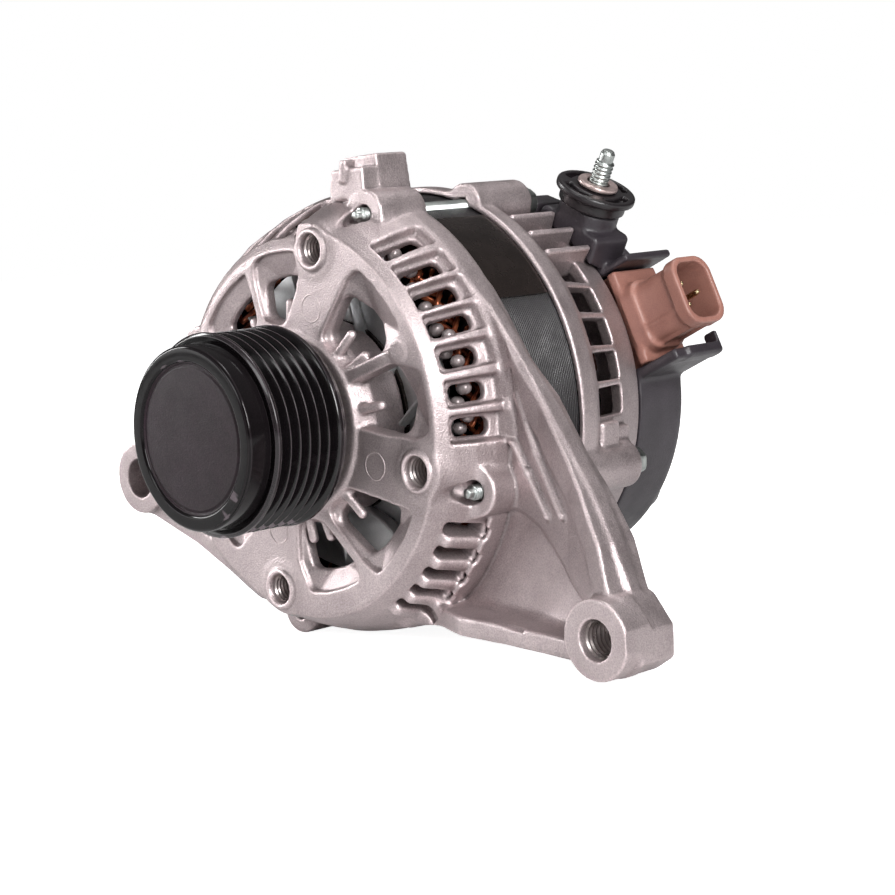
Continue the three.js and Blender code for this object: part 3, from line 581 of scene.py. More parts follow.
# ---------------------------------------------------------------- rear housing
REAR_SLOTS = [43.6, 34.0, 24.3, 14.4, 4.6, -24, -33.6, -43.2, -52.8, -62.4, -72, -81.6, -90, -118, -127.6,
              -137.2, -146.8, -156.4, -166, -175.6, -184, 94, 103.6, 113.2, 122.8, 132.4, 142, 151]
FINS = [48.4, 56.0, 64.0]
# Steps on the rear housing, below its last slot: z, half width, y from and to, and reach.
STEPS = [(-4.6, 4.0, 93.4, 101.0, 64.8), (-5.4, 2.6, 99.0, 108.0, 62.6), (-11.0, 3.4, 93.4, 108.0, 63.6)]


def vent(a0, a1, r0, r1, y0, y1, narrower=0):
    """A cut between two radii and two angles through a flat wall."""
    corners = [polar(r0, a0), polar(r1, a0), polar(r1, a1), polar(r0, a1 - narrower)]
    return slab(rounded(corners, 2), y0, y1, 0.4)


def rear_housing():
    g = Field((-72, 81, -72), (72, 121, 74), 0.6)
    outer = rounded([(0, 83.3), (66.2, 83.3, 0.6), (66.2, 89.5, 2), (63.2, 94.0, 3), (60.4, 107, 2),
                     (57.3, 118.5, 1.5), (0, 118.5)], 0.5)
    g.add(spun(outer), 0)
    for a in BOLTS:
        x, z = polar(BOLT_R, a)
        g.add(cyl(x, z, LUG_R - 0.1, 83.8, LUG_REAR, 1.0), 1.8)
        g.add(block(ring_point(57, a, 95.2), (7, 11.6, 7.0), a, corner=1.2), 1.5)
    for z, half, y0, y1, reach in STEPS:
        g.add(block((reach - 5, (y0 + y1) / 2, z), (5, (y1 - y0) / 2, half), 0, corner=0.6), 0.5)
    inner = rounded([(0, 78), (64.35, 78), (64.35, 87.0, 0.2), (61.2, 87.0, 0.2), (59.2, 94), (56.6, 106),
                     (53, 114.4, 2), (24, 114.4, 2), (21.6, 104.8, 1), (0, 104.8)], 0.5)
    g.cut(spun(inner), 0.4)
    for a in REAR_SLOTS:
        g.cut(radial_slot(a, 50, 76, 4.25, 93.8, 107.0, 0.9, 0.3), 0.5)
    for i in range(16):
        a = i * 22.5 + 11
        g.cut(vent(a + 2.5, a + 17, 27, 45, 108, 125, narrower=2), 0.8)
    # The stretch between the bolt lug and the first slot is open, with bare fins across it.
    gap = [polar(r, a) for r, a in ((52, 47.5), (70, 47.5), (74, 58), (70, 68.5), (52, 68.5))]
    g.cut(slab(rounded(gap, 1), 93.8, 110.5, 0.6), 1.2)
    for a in FINS:
        g.add(block(ring_point(59.5, a, 102.6), (5.4, 9.6, 0.95), a + 8, corner=0.5), 0.5)
    g.cut(cyl(0, 0, 17.8, 106.7, 130, 0.3), 0.3)
    g.cut(cyl(0, 0, 10.2, 90, 110, 0.3), 0.3)
    for a in BOLTS:
        x, z = polar(BOLT_R, a)
        g.cut(cyl(x, z, BOLT_HOLE, 80, 125, 0.1), 0.3)
        g.cut(cyl(x, z, 5.9, LUG_REAR, 125, 0.2), 0.3)
    return g.mesh("rear_casting")


# ---------------------------------------------------------------- rear cover and regulator
def guard(phi, rho0, rho1, across, half, y0, y1):
    """A plate or box that stands out along the radius at phi."""
    centre = slanted(phi, (rho0 + rho1) / 2, (y0 + y1) / 2, across)
    return block(centre, ((rho1 - rho0) / 2, (y1 - y0) / 2, half), phi, corner=0.7)


def stud_point(d):
    """The point on the output stud's axis at a distance from its washer seat."""
    nx, nz = polar(1, STUD_ANGLE)
    return STUD_FOOT[0] + nx * d, STUD_FOOT[1], STUD_FOOT[2] + nz * d


def tube(a, b, r, e=0.4):
    """A flat-ended cylinder between two points."""
    a, b = np.array(a, float), np.array(b, float)
    length = float(np.linalg.norm(b - a))
    u = (b - a) / length

    def f(x, y, z):
        t = (x - a[0]) * u[0] + (y - a[1]) * u[1] + (z - a[2]) * u[2]
        off = [p - a[i] - u[i] * t for i, p in enumerate((x, y, z))]
        return smax(np.sqrt(sum(d * d for d in off)) - r, np.maximum(-t, t - length), e)
    return f, tuple(np.minimum(a, b) - r), tuple(np.maximum(a, b) + r)


def rear_cover():
    g = Field((-62, 110, -62), (78, 143.5, 66), 0.6)
    outer = rounded([(0, 119.4), (57, 119.4, 0.5), (57, 140.4, 3.5), (0, 140.6, 0.5)], 0.5)
    g.add(spun(outer), 0)
    g.add(tube(stud_point(-30), stud_point(-6.3), 9.4, 0.6), 1.5)
    g.add(block(stud_point(-17.5), (6.5, 8.2, 12.5), STUD_ANGLE, corner=2.0), 1.2)
    g.add(guard(STUD_ANGLE - 13, 50, 61.5, 0, 6.0, 114, 128), 1.2)
    g.add(guard(STUD_ANGLE + 9, 50, 63.5, 0, 4.0, 113, 126), 1.0)
    g.add(guard(STUD_ANGLE - 6, 58, 66.4, 0, 2.2, 110.8, 121), 0.6)
    g.add(guard(PLUG_ANGLE, 50, 70.5, -17.0, 1.7, 119.6, 140.6), 1.2)
    g.add(guard(PLUG_ANGLE, 66.6, 71.6, -15.2, 3.4, 125, 140.6), 1.4)
    g.add(guard(PLUG_ANGLE, 50, 65.8, 16.7, 1.2, 119.6, 140.6), 1.5)
    g.cut(spun(rounded([(0, 112), (54.6, 112), (54.6, 136.4, 2.5), (0, 138.2, 0.2)], 0.5)), 0.3)
    g.cut(guard(PLUG_ANGLE, 30, 80, 0, 15.35, 100, 139.2), 0.4)
    g.cut(spun([(0, 80), (71, 80), (71, 112.4), (60.2, 112.4), (58.2, 118.9), (0, 118.9)]), 0.2)
    for i in range(9):
        a = 150 + i * 22
        g.cut(vent(a, a + 13, 26, 44, 130, 150), 0.8)
    for a in COVER_NUTS:
        g.add(cyl(*polar(COVER_NUT_R, a), 6.0, 136, 140.9, 0.6), 0.8)
        g.cut(cyl(*polar(COVER_NUT_R, a), 2.7, 110, 150, 0.1), 0.3)
    g.cut(tube(stud_point(-40), stud_point(5), 5.6, 0.2), 0.3)
    return g.mesh("cover_moulding")


def plug_point(rho, dy, across):
    return slanted(PLUG_ANGLE, rho, PLUG_Y + dy, across + SOCKET_SHIFT)


def sleeve(rho, half, corner, cut_rho, cut_half):
    """The stretch of a rounded box along the socket's direction between two planes."""
    return both(block(plug_point(rho, 0, 0), half, PLUG_ANGLE, corner),
                block(plug_point(cut_rho, 0, 0), (cut_half, 12, 14), PLUG_ANGLE, 0.5), 0.3)


def regulator():
    g = Field((24, 117, 2), (86, 141, 52), 0.5)
    g.add(guard(PLUG_ANGLE, 36, 57.5, 0, 14.8, 121.6, 137.5), 0)
    g.add(guard(PLUG_ANGLE, 55.6, 59, 0, 14.9, 119.7, 138.9), 0.6)
    g.add(sleeve(68, (20, 7.7, 9.7), 4.6, 66.4, 14), 0.9)
    g.add(sleeve(76, (16, 8.4, 10.5), 5.2, 78.6, 1.8), 2.2)
    for dy, across in ((-7.6, -4.4), (-3.6, -9.7), (3.6, -9.7)):
        low, high = plug_point(58, dy * 1.02, across * 1.02), plug_point(77, dy, across)
        g.add(tube(low, high, 0.7, 0.3), 0.8)
    g.add(sleeve(66, (20, 8.9, 11.2), 5.4, 60.5, 2.6), 1.6)
    g.cut(sleeve(78, (16, 6.7, 8.9), 4.2, 90, 28), 0.3)
    return g.mesh("regulator_moulding")


def insulator():
    g = Field((22, 106, 48), (56, 134, 78), 0.38)
    g.add(tube(stud_point(-2.4), stud_point(0), 12.4, 0.8), 0)
    g.add(tube(stud_point(-6), stud_point(-1.5), 10.4, 0.5), 0.8)
    g.cut(tube(stud_point(-9), stud_point(3), 3.7, 0.1), 0.2)
    nx, nz = polar(1, STUD_ANGLE)

    def slots(x, y, z):
        u = y - STUD_FOOT[1]
        v = (z - STUD_FOOT[2]) * nx - (x - STUD_FOOT[0]) * nz
        t = (x - STUD_FOOT[0]) * nx + (z - STUD_FOOT[2]) * nz
        r = np.hypot(u, v)
        a = np.arctan2(v, u) + math.pi / 4
        quarter = np.abs((a / (math.pi / 2)) % 1 - 0.5) * (math.pi / 2) * r
        q = smax(np.abs(r - 9.4) - 1.1, quarter - 5.0, 0.8)
        return smax(q, -1.9 - t, 0.2)
    g.cut((slots, (22, 106, 48), (56, 134, 78)), 0.3)
    return g.mesh("terminal_moulding")


# ---------------------------------------------------------------- turned pieces
def lathe(name, profile, steps=128, closed=False, frame_=None, wave=None):
    """A turned piece. profile is (radius, along) points, frame_ is (origin, axis, side)."""
    p = np.asarray(profile, float)
    n = len(p)
    ang = np.arange(steps) * 2 * math.pi / steps
    r = np.repeat(p[None, :, 0], steps, 0)
    h = np.repeat(p[None, :, 1], steps, 0)
    if wave:
        r, h = wave(ang[:, None], r, h)
    u, v = r * np.cos(ang)[:, None], r * np.sin(ang)[:, None]
    if frame_ is None:
        pts = np.stack([u, h, v], -1)
    else:
        o, axis, side = (np.array(w, float) for w in frame_)
        third = np.cross(axis, side)
        pts = o + u[..., None] * side + v[..., None] * third + h[..., None] * axis
    pts = pts.reshape(-1, 3)
    faces = []
    last = n if closed else n - 1
    i = np.arange(steps)
    j = (i + 1) % steps
    for k in range(last):
        k2 = (k + 1) % n
        faces.append(np.stack([i * n + k, i * n + k2, j * n + k2, j * n + k], -1))
    return weld(make_mesh(name, place(pts), np.concatenate(faces)))


def weld(obj):
    """Joins the points that meet on the axis of a turned piece."""
    bm = bmesh.new()
    bm.from_mesh(obj.data)
    bmesh.ops.remove_doubles(bm, verts=bm.verts, dist=1e-7)
    bm.to_mesh(obj.data)
    bm.free()
    return obj


def keep_inside(obj):
    """Moves the outermost points back onto the sides of the CAD box."""
    co = np.empty(len(obj.data.vertices) * 3, np.float32)
    obj.data.vertices.foreach_get("co", co)
    co = np.clip(co.reshape(-1, 3), np.array(cad_box[0]) + 1e-5, np.array(cad_box[1]) - 1e-5)
    obj.data.vertices.foreach_set("co", co.astype(np.float32).ravel())
    obj.data.update()
    return obj


def soften(profile, radius=0.5, steps=3, closed=False):
    """Rounds the corners of an open or closed turning profile."""
    pts = [tuple(p) for p in profile]
    out = []
    n = len(pts)
    for i, p in enumerate(pts):
        if not closed and i in (0, n - 1):
            out.append(p[:2])
            continue
        a, b, c = np.array(pts[i - 1][:2]), np.array(p[:2]), np.array(pts[(i + 1) % n][:2])
        r = p[2] if len(p) > 2 else radius
        lu, lv = np.linalg.norm(a - b), np.linalg.norm(c - b)
        if r <= 0 or min(lu, lv) < 1e-6:
            out.append(tuple(b))
            continue
        reach = min(r, lu * 0.45, lv * 0.45)
        u, v = (a - b) / lu, (c - b) / lv
        for k in range(steps + 1):
            t = k / steps
            out.append(tuple((1 - t) ** 2 * (b + u * reach) + 2 * t * (1 - t) * b + t ** 2 * (b + v * reach)))
    return out


def belt_pulley():
    rim = [(20.3, -1.2, 0), (26.4, -1.2, .3), (27.2, -1.3, .2), (28.6, -1.9, .2), (29.62, -1.2, .3),
           (29.62, -0.2, .3)]
    for i in range(GROOVES):
        y = i * GROOVE_PITCH
        rim += [(29.2, y + 0.17, .08), (26.2, y + 1.4, .3), (26.2, y + 2.15, .3), (29.2, y + 3.38, .08)]
    rim += [(29.62, 21.7, .4), (29.62, 23.0, .4), (28.0, 24.3, .4), (27.2, 26.1, .4), (20.3, 26.1, .3)]
    return lathe("pulley_rim", soften(rim, 0.3, 3, True), 192, closed=True)


def cap():
    rim = [(22.0, -7.9, .2), (22.0, -8.9, .3), (22.6, -9.46, .3), (25.9, -9.46, .5), (26.66, -8.7, .4),
           (26.66, -1.7, .3), (26.0, -1.3, .2), (23.6, -1.3, .2), (23.6, -4.05, .2), (22.6, -6.6, .4)]
    disc = [(0, -8.75), (20.6, -8.75, .25), (21.0, -8.35, .25), (21.5, -8.35, .2), (21.7, -8.8, .2),
            (22.1, -8.8, .2), (22.1, -7.4, .2), (0, -7.2)]
    return (lathe("cap_rim", soften(rim, 0.4, 4, True), 160, closed=True),
            lathe("cap_disc", soften(disc, 0.4, 4), 160))


def threads(name, r, length, pitch, base, axis, side, tip=0.9, root=0.86):
    """A threaded rod from base along axis, its ridge winding round as one helix."""
    rows = int(length / pitch * 10)
    h = np.linspace(0, length, rows)
    profile = [(r, v) for v in h]

    def wave(a, rr, hh):
        phase = (hh / pitch - a / (2 * math.pi)) % 1
        tooth = np.abs(phase * 2 - 1)
        fade = np.clip((length - hh) / tip, 0, 1)
        rr = rr * (root + (1 - root) * tooth)
        return np.where(hh > length - 1e-6, 0, rr * (0.72 + 0.28 * fade)), hh
    return lathe(name, profile, 40, frame_=(base, axis, side), wave=wave)


# ---------------------------------------------------------------- windings and fan
def grid_faces(rows, across, start=0):
    """The faces of a tube whose points come in rows of one ring each."""
    rings = [(start + i * across, start + (i + 1) * across) for i in range(rows - 1)]
    return [(a + j, a + (j + 1) % across, b + (j + 1) % across, b + j)
            for a, b in rings for j in range(across)]


def bars_mesh(name, paths, half_w, half_t):
    """Rectangular bars swept along short paths. Each path is (points, side vector)."""
    ring = [(-1, -.6), (-.6, -1), (.6, -1), (1, -.6), (1, .6), (.6, 1), (-.6, 1), (-1, .6)]
    verts, faces = [], []
    for points, side in paths:
        pts = np.asarray(points, float)
        n = len(pts)
        start = len(verts)
        for i, p in enumerate(pts):
            t = pts[min(i + 1, n - 1)] - pts[max(i - 1, 0)]
            t /= np.linalg.norm(t)
            s = side - (side @ t) * t
            s /= np.linalg.norm(s)
            b = np.cross(t, s)
            for u, v in ring:
                verts.append(p + s * (u * half_w) + b * (v * half_t))
        k = len(ring)
        faces += grid_faces(n, k, start)
        for e in (0, n - 1):
            o = start + e * k
            faces += [(o, o + 1, o + 2, o + 3), (o, o + 3, o + 4, o + 7), (o + 4, o + 5, o + 6, o + 7)]
    return make_mesh(name, place(np.array(verts)), np.array(faces))


def hairpins(name, y_core, y_top, count, lean):
    """Rows of copper bars that lean out of the core, in two layers leaning opposite ways."""
    paths = []
    for layer, (r, sign) in enumerate(((54.9, 1), (51.8, -1))):
        for i in range(count):
            a0 = i * 360 / count + layer * 180 / count
            steps = []
            for k in range(6):
                t = k / 5
                y = y_core + (y_top - y_core) * min(t * 1.02, 1)
                steps.append(ring_point(r, a0 + sign * lean * t, y))
            paths.append((steps, np.array(ring_point(1, a0 + sign * lean * 0.5, 0))))
    return bars_mesh(name, paths, 0.9, 40.0 / count)


def beads(name, y, r, count, size, offset, layers):
    """Rounded resin-coated weld beads at the ends of the bars."""
    n_u, n_v = 10, 7
    verts, faces = [], []
    for layer in range(layers):
        for i in range(count):
            a = (i + 0.5 * layer) * 360 / count + offset
            cx, cz = polar(r - layer * 3.6, a)
            ca, sa = polar(1, a)
            wob = 1 + 0.12 * math.sin(i * 2.4 + layer)
            start = len(verts)
            for v in range(n_v):
                th = math.pi * (v + 0.5) / n_v
                for u in range(n_u):
                    ph = 2 * math.pi * u / n_u
                    rad = math.sin(th) * math.cos(ph) * size * wob
                    tan = math.sin(th) * math.sin(ph) * size * 0.9
                    up = math.cos(th) * size
                    verts.append((cx + rad * ca - tan * sa, y + up, cz + rad * sa + tan * ca))
            faces += grid_faces(n_v, n_u, start)
            for v in (0, n_v - 1):
                o = start + v * n_u
                faces += [(o, o + 1, o + 2, o + 3), (o, o + 3, o + 4, o + 9), (o + 4, o + 5, o + 8, o + 9),
                          (o + 5, o + 6, o + 7, o + 8)]
    return make_mesh(name, place(np.array(verts)), np.array(faces))


def cooling_fan(name, disc_y, top_y, count, sweep, r0, r1):
    """A pressed fan: a dished disc with curved blades."""
    side = 1 if top_y > disc_y else -1
    disc = soften([(9.5, disc_y), (34, disc_y, 1), (36, disc_y - side * 0.2), (46.8, disc_y, .3),
                   (46.8, disc_y - side * 1.1, .3), (9.5, disc_y - side * 1.4)], 0.5, 3)
    base = lathe(name + "_disc", disc, 96, closed=True)
    paths = []
    for i in range(count):
        pts = []
        for k in range(7):
            t = k / 6
            a = i * 360 / count + sweep * t + 6 * math.sin(t * math.pi)
            pts.append(ring_point(r0 + (r1 - r0) * t, a, (disc_y + top_y) / 2))
        paths.append((pts, np.array((0.0, 1.0, 0.0))))
    blades = bars_mesh(name + "_blades", paths, abs(top_y - disc_y) / 2, 0.55)
    return base, blades


def stator_core():
    rim = [(49.6, 56.4), (63.9, 56.4)]
    y = 57.0
    while y < 86.4:
        rim += [(63.98, y), (63.98, y + 0.42), (63.72, y + 0.5), (63.72, y + 0.62)]
        y += 0.74
    rim += [(63.9, 86.6), (49.6, 86.6)]
    return lathe("stator_laminations", rim, 144, closed=True)


def stator_plate():
    pts, n = [], 24
    for i in range(n + 1):
        a = 36 + 30 * i / n
        for r, y in ((64.3, 61.4), (64.9, 61.4), (64.95, 62.2), (64.95, 81.8), (64.9, 82.7), (64.3, 82.7)):
            pts.append(ring_point(r, a, y))
    faces = grid_faces(n + 1, 6)
    for o in (0, n * 6):
        faces += [(o, o + 1, o + 2, o + 5), (o + 2, o + 3, o + 4, o + 5)]
    return make_mesh("stator_cover_strip", place(np.array(pts)), np.array(faces), smooth=False)


# ---------------------------------------------------------------- fasteners
def hexed(flats, rows):
    """A wave for lathe() that turns the given profile rows into hexagons of that size across flats."""
    def wave(a, r, h):
        local = (a + math.pi / 6) % (math.pi / 3) - math.pi / 6
        k = flats / 2 / np.cos(local)
        r = r.copy()
        for i, limit in rows.items():
            r[:, i] = np.minimum(k[:, 0], limit)
        return r, h
    return wave


def through_bolt(name, angle):
    rear = LUG_REAR + 0.5
    shape = [(0, 39.8), (1.2, 39.8), (1.4, 40.1), (1.4, 41.4), (1.7, 42.0), (1.9, 44.6), (2.4, 45.0),
             (2.4, rear - 0.1), (5.0, rear), (5.1, rear + 0.4), (4.9, rear + 1.0), (4.4, rear + 1.1),
             (4.4, rear + 4.4), (3.8, rear + 4.9), (0, rear + 4.9)]
    shaft = lathe(name, shape, 48, frame_=upright(*polar(BOLT_R, angle)),
                  wave=hexed(7.8, {11: 9, 12: 9, 13: 4.1}))
    tip = threads(name + "_thread", 2.35, 3.4, 0.85, ring_point(BOLT_R, angle, 45.0), (0, -1, 0), (1, 0, 0),
                  0.5, 0.84)
    return shaft, tip


def cover_nut(name, angle):
    shape = [(0, 120), (2.1, 120), (2.1, 140.9), (4.6, 141.0), (4.6, 143.0), (4.0, 143.5), (2.4, 143.5),
             (2.1, 143.2), (2.1, 144.0), (0, 144.0)]
    return lathe(name, shape, 48, frame_=upright(*polar(COVER_NUT_R, angle)),
                 wave=hexed(7.6, {3: 9, 4: 9, 5: 4.0}))


def stud_pieces():
    axis, side = ring_point(1, STUD_ANGLE, 0), (0, 1, 0)
    seat = (stud_point(0), axis, side)
    shape = [(0, -15.9), (4.9, -15.9), (4.9, -13), (2.95, -12.8), (2.95, 2.2), (0, 2.2)]
    shaft = lathe("output_stud", soften(shape, 0.3), 40, frame_=seat)
    thread = threads("output_stud_thread", 3.0, 6.9, 1.25, stud_point(2.0), axis, side, 0.5)
    shape = [(0, 8.0), (2.2, 8.0), (2.25, 11.2), (1.6, 12.2), (0, 12.2)]
    tip = lathe("output_stud_tip", soften(shape, 0.3), 40, frame_=seat)
    shape = [(3.6, 0.35), (6.2, 0.35), (6.35, 1.0), (6.1, 1.75), (3.6, 1.75)]
    washer = lathe("output_washer", soften(shape, 0.3, 3, True), 64, closed=True, frame_=seat)
    return shaft, thread, tip, washer


def inner_thread(name, centre, r, y0, y1, pitch=1.25):
    """The threaded wall of a hole along the rotor axis, as stacked grooves."""
    shape = [(r + 0.5, y1), (r + 0.5, y0)]
    y = y0
    while y < y1 - pitch / 2:
        for deep, along in ((0, 0.05), (0, pitch * 0.2), (0.62, pitch * 0.5), (0.62, pitch * 0.62)):
            shape.append((r - deep, y + along))
        y += pitch
    return lathe(name, shape, 64, closed=True, frame_=upright(*centre))


def mark(name, x, y, z, r=4.0):
    """The thin raised circle an ejector pin leaves on a casting."""
    ring = ((-0.28, 0.5), (-0.28, -0.1), (0, -0.24), (0.28, -0.1), (0.28, 0.5))
    shape = soften([(r + u, y + v) for u, v in ring], 0.1, 3, True)
    return lathe(name, shape, 64, closed=True, frame_=upright(x, z))


# ---------------------------------------------------------------- materials
def shade(name, color, rough, metal=0.0, **more):
    """A procedural material, mottled with tint. grain is (cells per metre, depth in metres). edges is (dark,
    light): painted shade in creases and painted highlights on edges, both set by pointiness.
    """
    m = bpy.data.materials.new(name)
    m.use_nodes = True
    nt = m.node_tree
    b = nt.nodes["Principled BSDF"]
    b.inputs["Roughness"].default_value = rough
    b.inputs["Metallic"].default_value = metal
    for key, value in more.get("set", {}).items():
        b.inputs[key].default_value = value
    coord = nt.nodes.new("ShaderNodeTexCoord")

    def noise(scale, detail=3.0, rough_=0.6):
        n = nt.nodes.new("ShaderNodeTexNoise")
        n.inputs["Scale"].default_value = scale
        n.inputs["Detail"].default_value = detail
        n.inputs["Roughness"].default_value = rough_
        nt.links.new(coord.outputs["Object"], n.inputs["Vector"])
        return n.outputs["Fac"]

    def ramp(source, stops):
        r = nt.nodes.new("ShaderNodeValToRGB")
        el = r.color_ramp.elements
        while len(el) < len(stops):
            el.new(0.5)
        for e, (at, c) in zip(el, stops):
            e.position = at
            e.color = (*c, 1)
        nt.links.new(source, r.inputs["Fac"])
        return r.outputs["Color"]

    def times(one, two):
        mix = nt.nodes.new("ShaderNodeMix")
        mix.data_type = "RGBA"
        mix.blend_type = "MULTIPLY"
        mix.inputs["Factor"].default_value = 1.0
        nt.links.new(one, mix.inputs["A"])
        nt.links.new(two, mix.inputs["B"])
        return mix.outputs["Result"]
    tint = more.get("tint", tuple(c * 0.8 for c in color))
    out = ramp(noise(more.get("patch", 55), 4), [(0.33, tint), (0.66, color)])
    low, high = more.get("speck_low", 0.9), more.get("speck_high", 1.06)
    out = times(out, ramp(noise(more.get("speck", 2400), 2), [(0.3, (low,) * 3), (0.7, (high,) * 3)]))
    # Painted light: pointiness darkens the colour in creases and hollows (painted shade) and lightens it along
    # edges and crests (painted highlights).
    if "edges" in more:
        dark, light = more["edges"]
        shape = nt.nodes.new("ShaderNodeNewGeometry")
        stops = [(0.42, (dark,) * 3), (0.488, (1.0,) * 3), (0.512, (1.0,) * 3), (0.58, (light,) * 3)]
        out = times(out, ramp(shape.outputs["Pointiness"], stops))
    nt.links.new(out, b.inputs["Base Color"])
    spread = more.get("rough_spread", 0.06)
    stops = [(0.3, (rough - spread,) * 3), (0.7, (rough + spread,) * 3)]
    nt.links.new(ramp(noise(160, 3), stops), b.inputs["Roughness"])
    if "grain" in more:
        cells, depth = more["grain"]
        bump = nt.nodes.new("ShaderNodeBump")
        bump.inputs["Strength"].default_value = more.get("bump", 0.5)
        bump.inputs["Distance"].default_value = depth
        nt.links.new(noise(cells, 2.5), bump.inputs["Height"])
        nt.links.new(bump.outputs["Normal"], b.inputs["Normal"])
    return m


LOOKS = {
    # Cast aluminium: painted shade in its creases and painted highlights on its edges.
    "cast_aluminium": shade("cast aluminium", (0.50, 0.425, 0.430), 0.42, 0.82, tint=(0.37, 0.310, 0.314),
                            patch=38, speck=2100, speck_low=0.74, speck_high=1.14,
                            grain=(2000, 0.00022), bump=0.75,
                            rough_spread=0.08, edges=(0.16, 1.9)),
    "bearing_steel": shade("ground steel", (0.62, 0.61, 0.60), 0.30, 1.0, grain=(900, 0.00003), bump=0.3),
    "zinc_steel": shade("zinc plate", (0.50, 0.52, 0.50), 0.36, 1.0, tint=(0.36, 0.39, 0.38), patch=120,
                        grain=(1500, 0.00005), bump=0.35),
    # Black pulley coat: painted highlight lines along the crests of the ribs and flanges.
    "pulley_black": shade("black pulley coat", (0.005, 0.004, 0.0045), 0.15, 0.0,
                          set={"Specular IOR Level": 0.4}, patch=80, speck=1500, speck_low=0.8,
                          grain=(1300, 0.00002), bump=0.2, rough_spread=0.04, edges=(1.0, 34)),
    "cap_plastic": shade("cap plastic", (0.018, 0.010, 0.014), 0.5, 0.0, tint=(0.012, 0.007, 0.009), patch=60,
                         set={"Specular IOR Level": 0.2},
                         speck=1900, speck_low=0.62, speck_high=1.35, grain=(2300, 0.00010), bump=0.6),
    "copper": shade("enamelled copper", (0.42, 0.12, 0.05), 0.30, 0.7, tint=(0.20, 0.055, 0.03), patch=300,
                    grain=(900, 0.00006), bump=0.4),
    "lamination": shade("lamination varnish", (0.012, 0.010, 0.011), 0.42, 0.2, patch=140, speck=1800,
                        grain=(1600, 0.00016), bump=0.8, rough_spread=0.12),
    "sheet_steel": shade("dark sheet", (0.060, 0.046, 0.042), 0.26, 0.85, tint=(0.028, 0.022, 0.020),
                         patch=26, grain=(1200, 0.00004), bump=0.3),
    "black_plastic": shade("black moulding", (0.012, 0.0095, 0.011), 0.32, 0.0, patch=90, speck=2200,
                           grain=(1700, 0.00007), bump=0.4),
    "grey_plastic": shade("dark grey moulding", (0.034, 0.028, 0.034), 0.42, 0.0, tint=(0.022, 0.018, 0.022),
                          patch=60, speck=2300, speck_low=0.80, speck_high=1.2, grain=(2100, 0.00012),
                          bump=0.6),
    "brown_plastic": shade("brown moulding", (0.30, 0.142, 0.112), 0.40, 0.0, tint=(0.235, 0.106, 0.083),
                           patch=90, speck=2300, speck_low=0.88, speck_high=1.12,
                           grain=(1900, 0.00010), bump=0.5),
    "carbon": shade("brush carbon", (0.02, 0.02, 0.021), 0.6, 0.2, grain=(2000, 0.00006)),
    "brass": shade("pin brass", (0.74, 0.60, 0.36), 0.28, 1.0, grain=(900, 0.00003), bump=0.3),
}
# Glossy black cap plastic with painted highlights on its rounded rims.
GLOSS_PAINTED_HIGHLIGHTS = shade("cap gloss", (0.005, 0.004, 0.0045), 0.12, 0.0, set={"Specular IOR Level": 0.17}, patch=80,
              speck=1500, speck_low=0.8, rough_spread=0.03, edges=(1.0, 20))
RESIN = shade("bead resin", (0.34, 0.30, 0.30), 0.30, 0.35, tint=(0.16, 0.13, 0.13), patch=420, speck=1800,
              grain=(1500, 0.0001), bump=0.5)
# Cut thread metal with painted shade in the thread grooves and painted highlights on the crests.
CUT_THREAD_PAINTED_LIGHT = shade("cut thread", (0.50, 0.46, 0.45), 0.30, 0.9, tint=(0.36, 0.32, 0.31), patch=200,
             edges=(0.3, 1.5))
DARK_COPPER = shade("shaded copper", (0.06, 0.025, 0.016), 0.4, 0.6, patch=300, grain=(900, 0.00006),
                    bump=0.4)
BRIGHT = shade("fan sheet", (0.46, 0.46, 0.46), 0.38, 0.7, tint=(0.34, 0.34, 0.35), patch=70,
               grain=(900, 0.00003), bump=0.2)
PINKISH = shade("washer plating", (0.60, 0.47, 0.45), 0.36, 0.8, tint=(0.48, 0.38, 0.36), patch=160,
                grain=(1200, 0.00004), bump=0.3)


def dress(obj, material):
    obj.data.materials.clear()
    obj.data.materials.append(material)
    return obj


slot_of = {s["node"]: s["material_slot"] for s in frame["record"]["subparts"]}
for node, obj in frame["nodes"].items():
    dress(obj, LOOKS[slot_of[node]])


def fit(obj, body, slot_name, *nodes, look=None):
    """Rides a piece on its body, gives it its finish, and has it stand for CAD nodes."""
    dress(obj, look or LOOKS[slot_name])
    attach(obj, body)
    if nodes:
        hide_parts(*nodes)
    return obj


# ---------------------------------------------------------------- assembly
fit(front_housing(), "housing", "cast_aluminium", "front_housing")
fit(rear_housing(), "housing", "cast_aluminium", "rear_housing")
fit(rear_cover(), "housing", "grey_plastic", "rear_cover")
fit(regulator(), "housing", "brown_plastic", "regulator_connector")
fit(insulator(), "housing", "black_plastic", "terminal_insulator")
fit(belt_pulley(), "belt_pulley", "pulley_black", "pulley")
ring, face = cap()
fit(ring, "belt_pulley", "cap_plastic", "pulley_dust_cap", look=GLOSS_PAINTED_HIGHLIGHTS)
fit(face, "belt_pulley", "cap_plastic")
fit(stator_core(), "housing", "lamination", "stator_core")
fit(stator_plate(), "housing", "sheet_steel", "stator_side_plate")
fit(hairpins("front_hairpins", 56.0, 48.4, 66, -8), "housing", "copper", "stator_coil_end_front")
fit(beads("front_beads", 45.4, 57.0, 46, 2.2, -9, 2), "housing", "copper", look=RESIN)
fit(hairpins("rear_hairpins", 87.0, 102.0, 40, 9), "housing", "copper", "stator_coil_end_rear",
    look=DARK_COPPER)
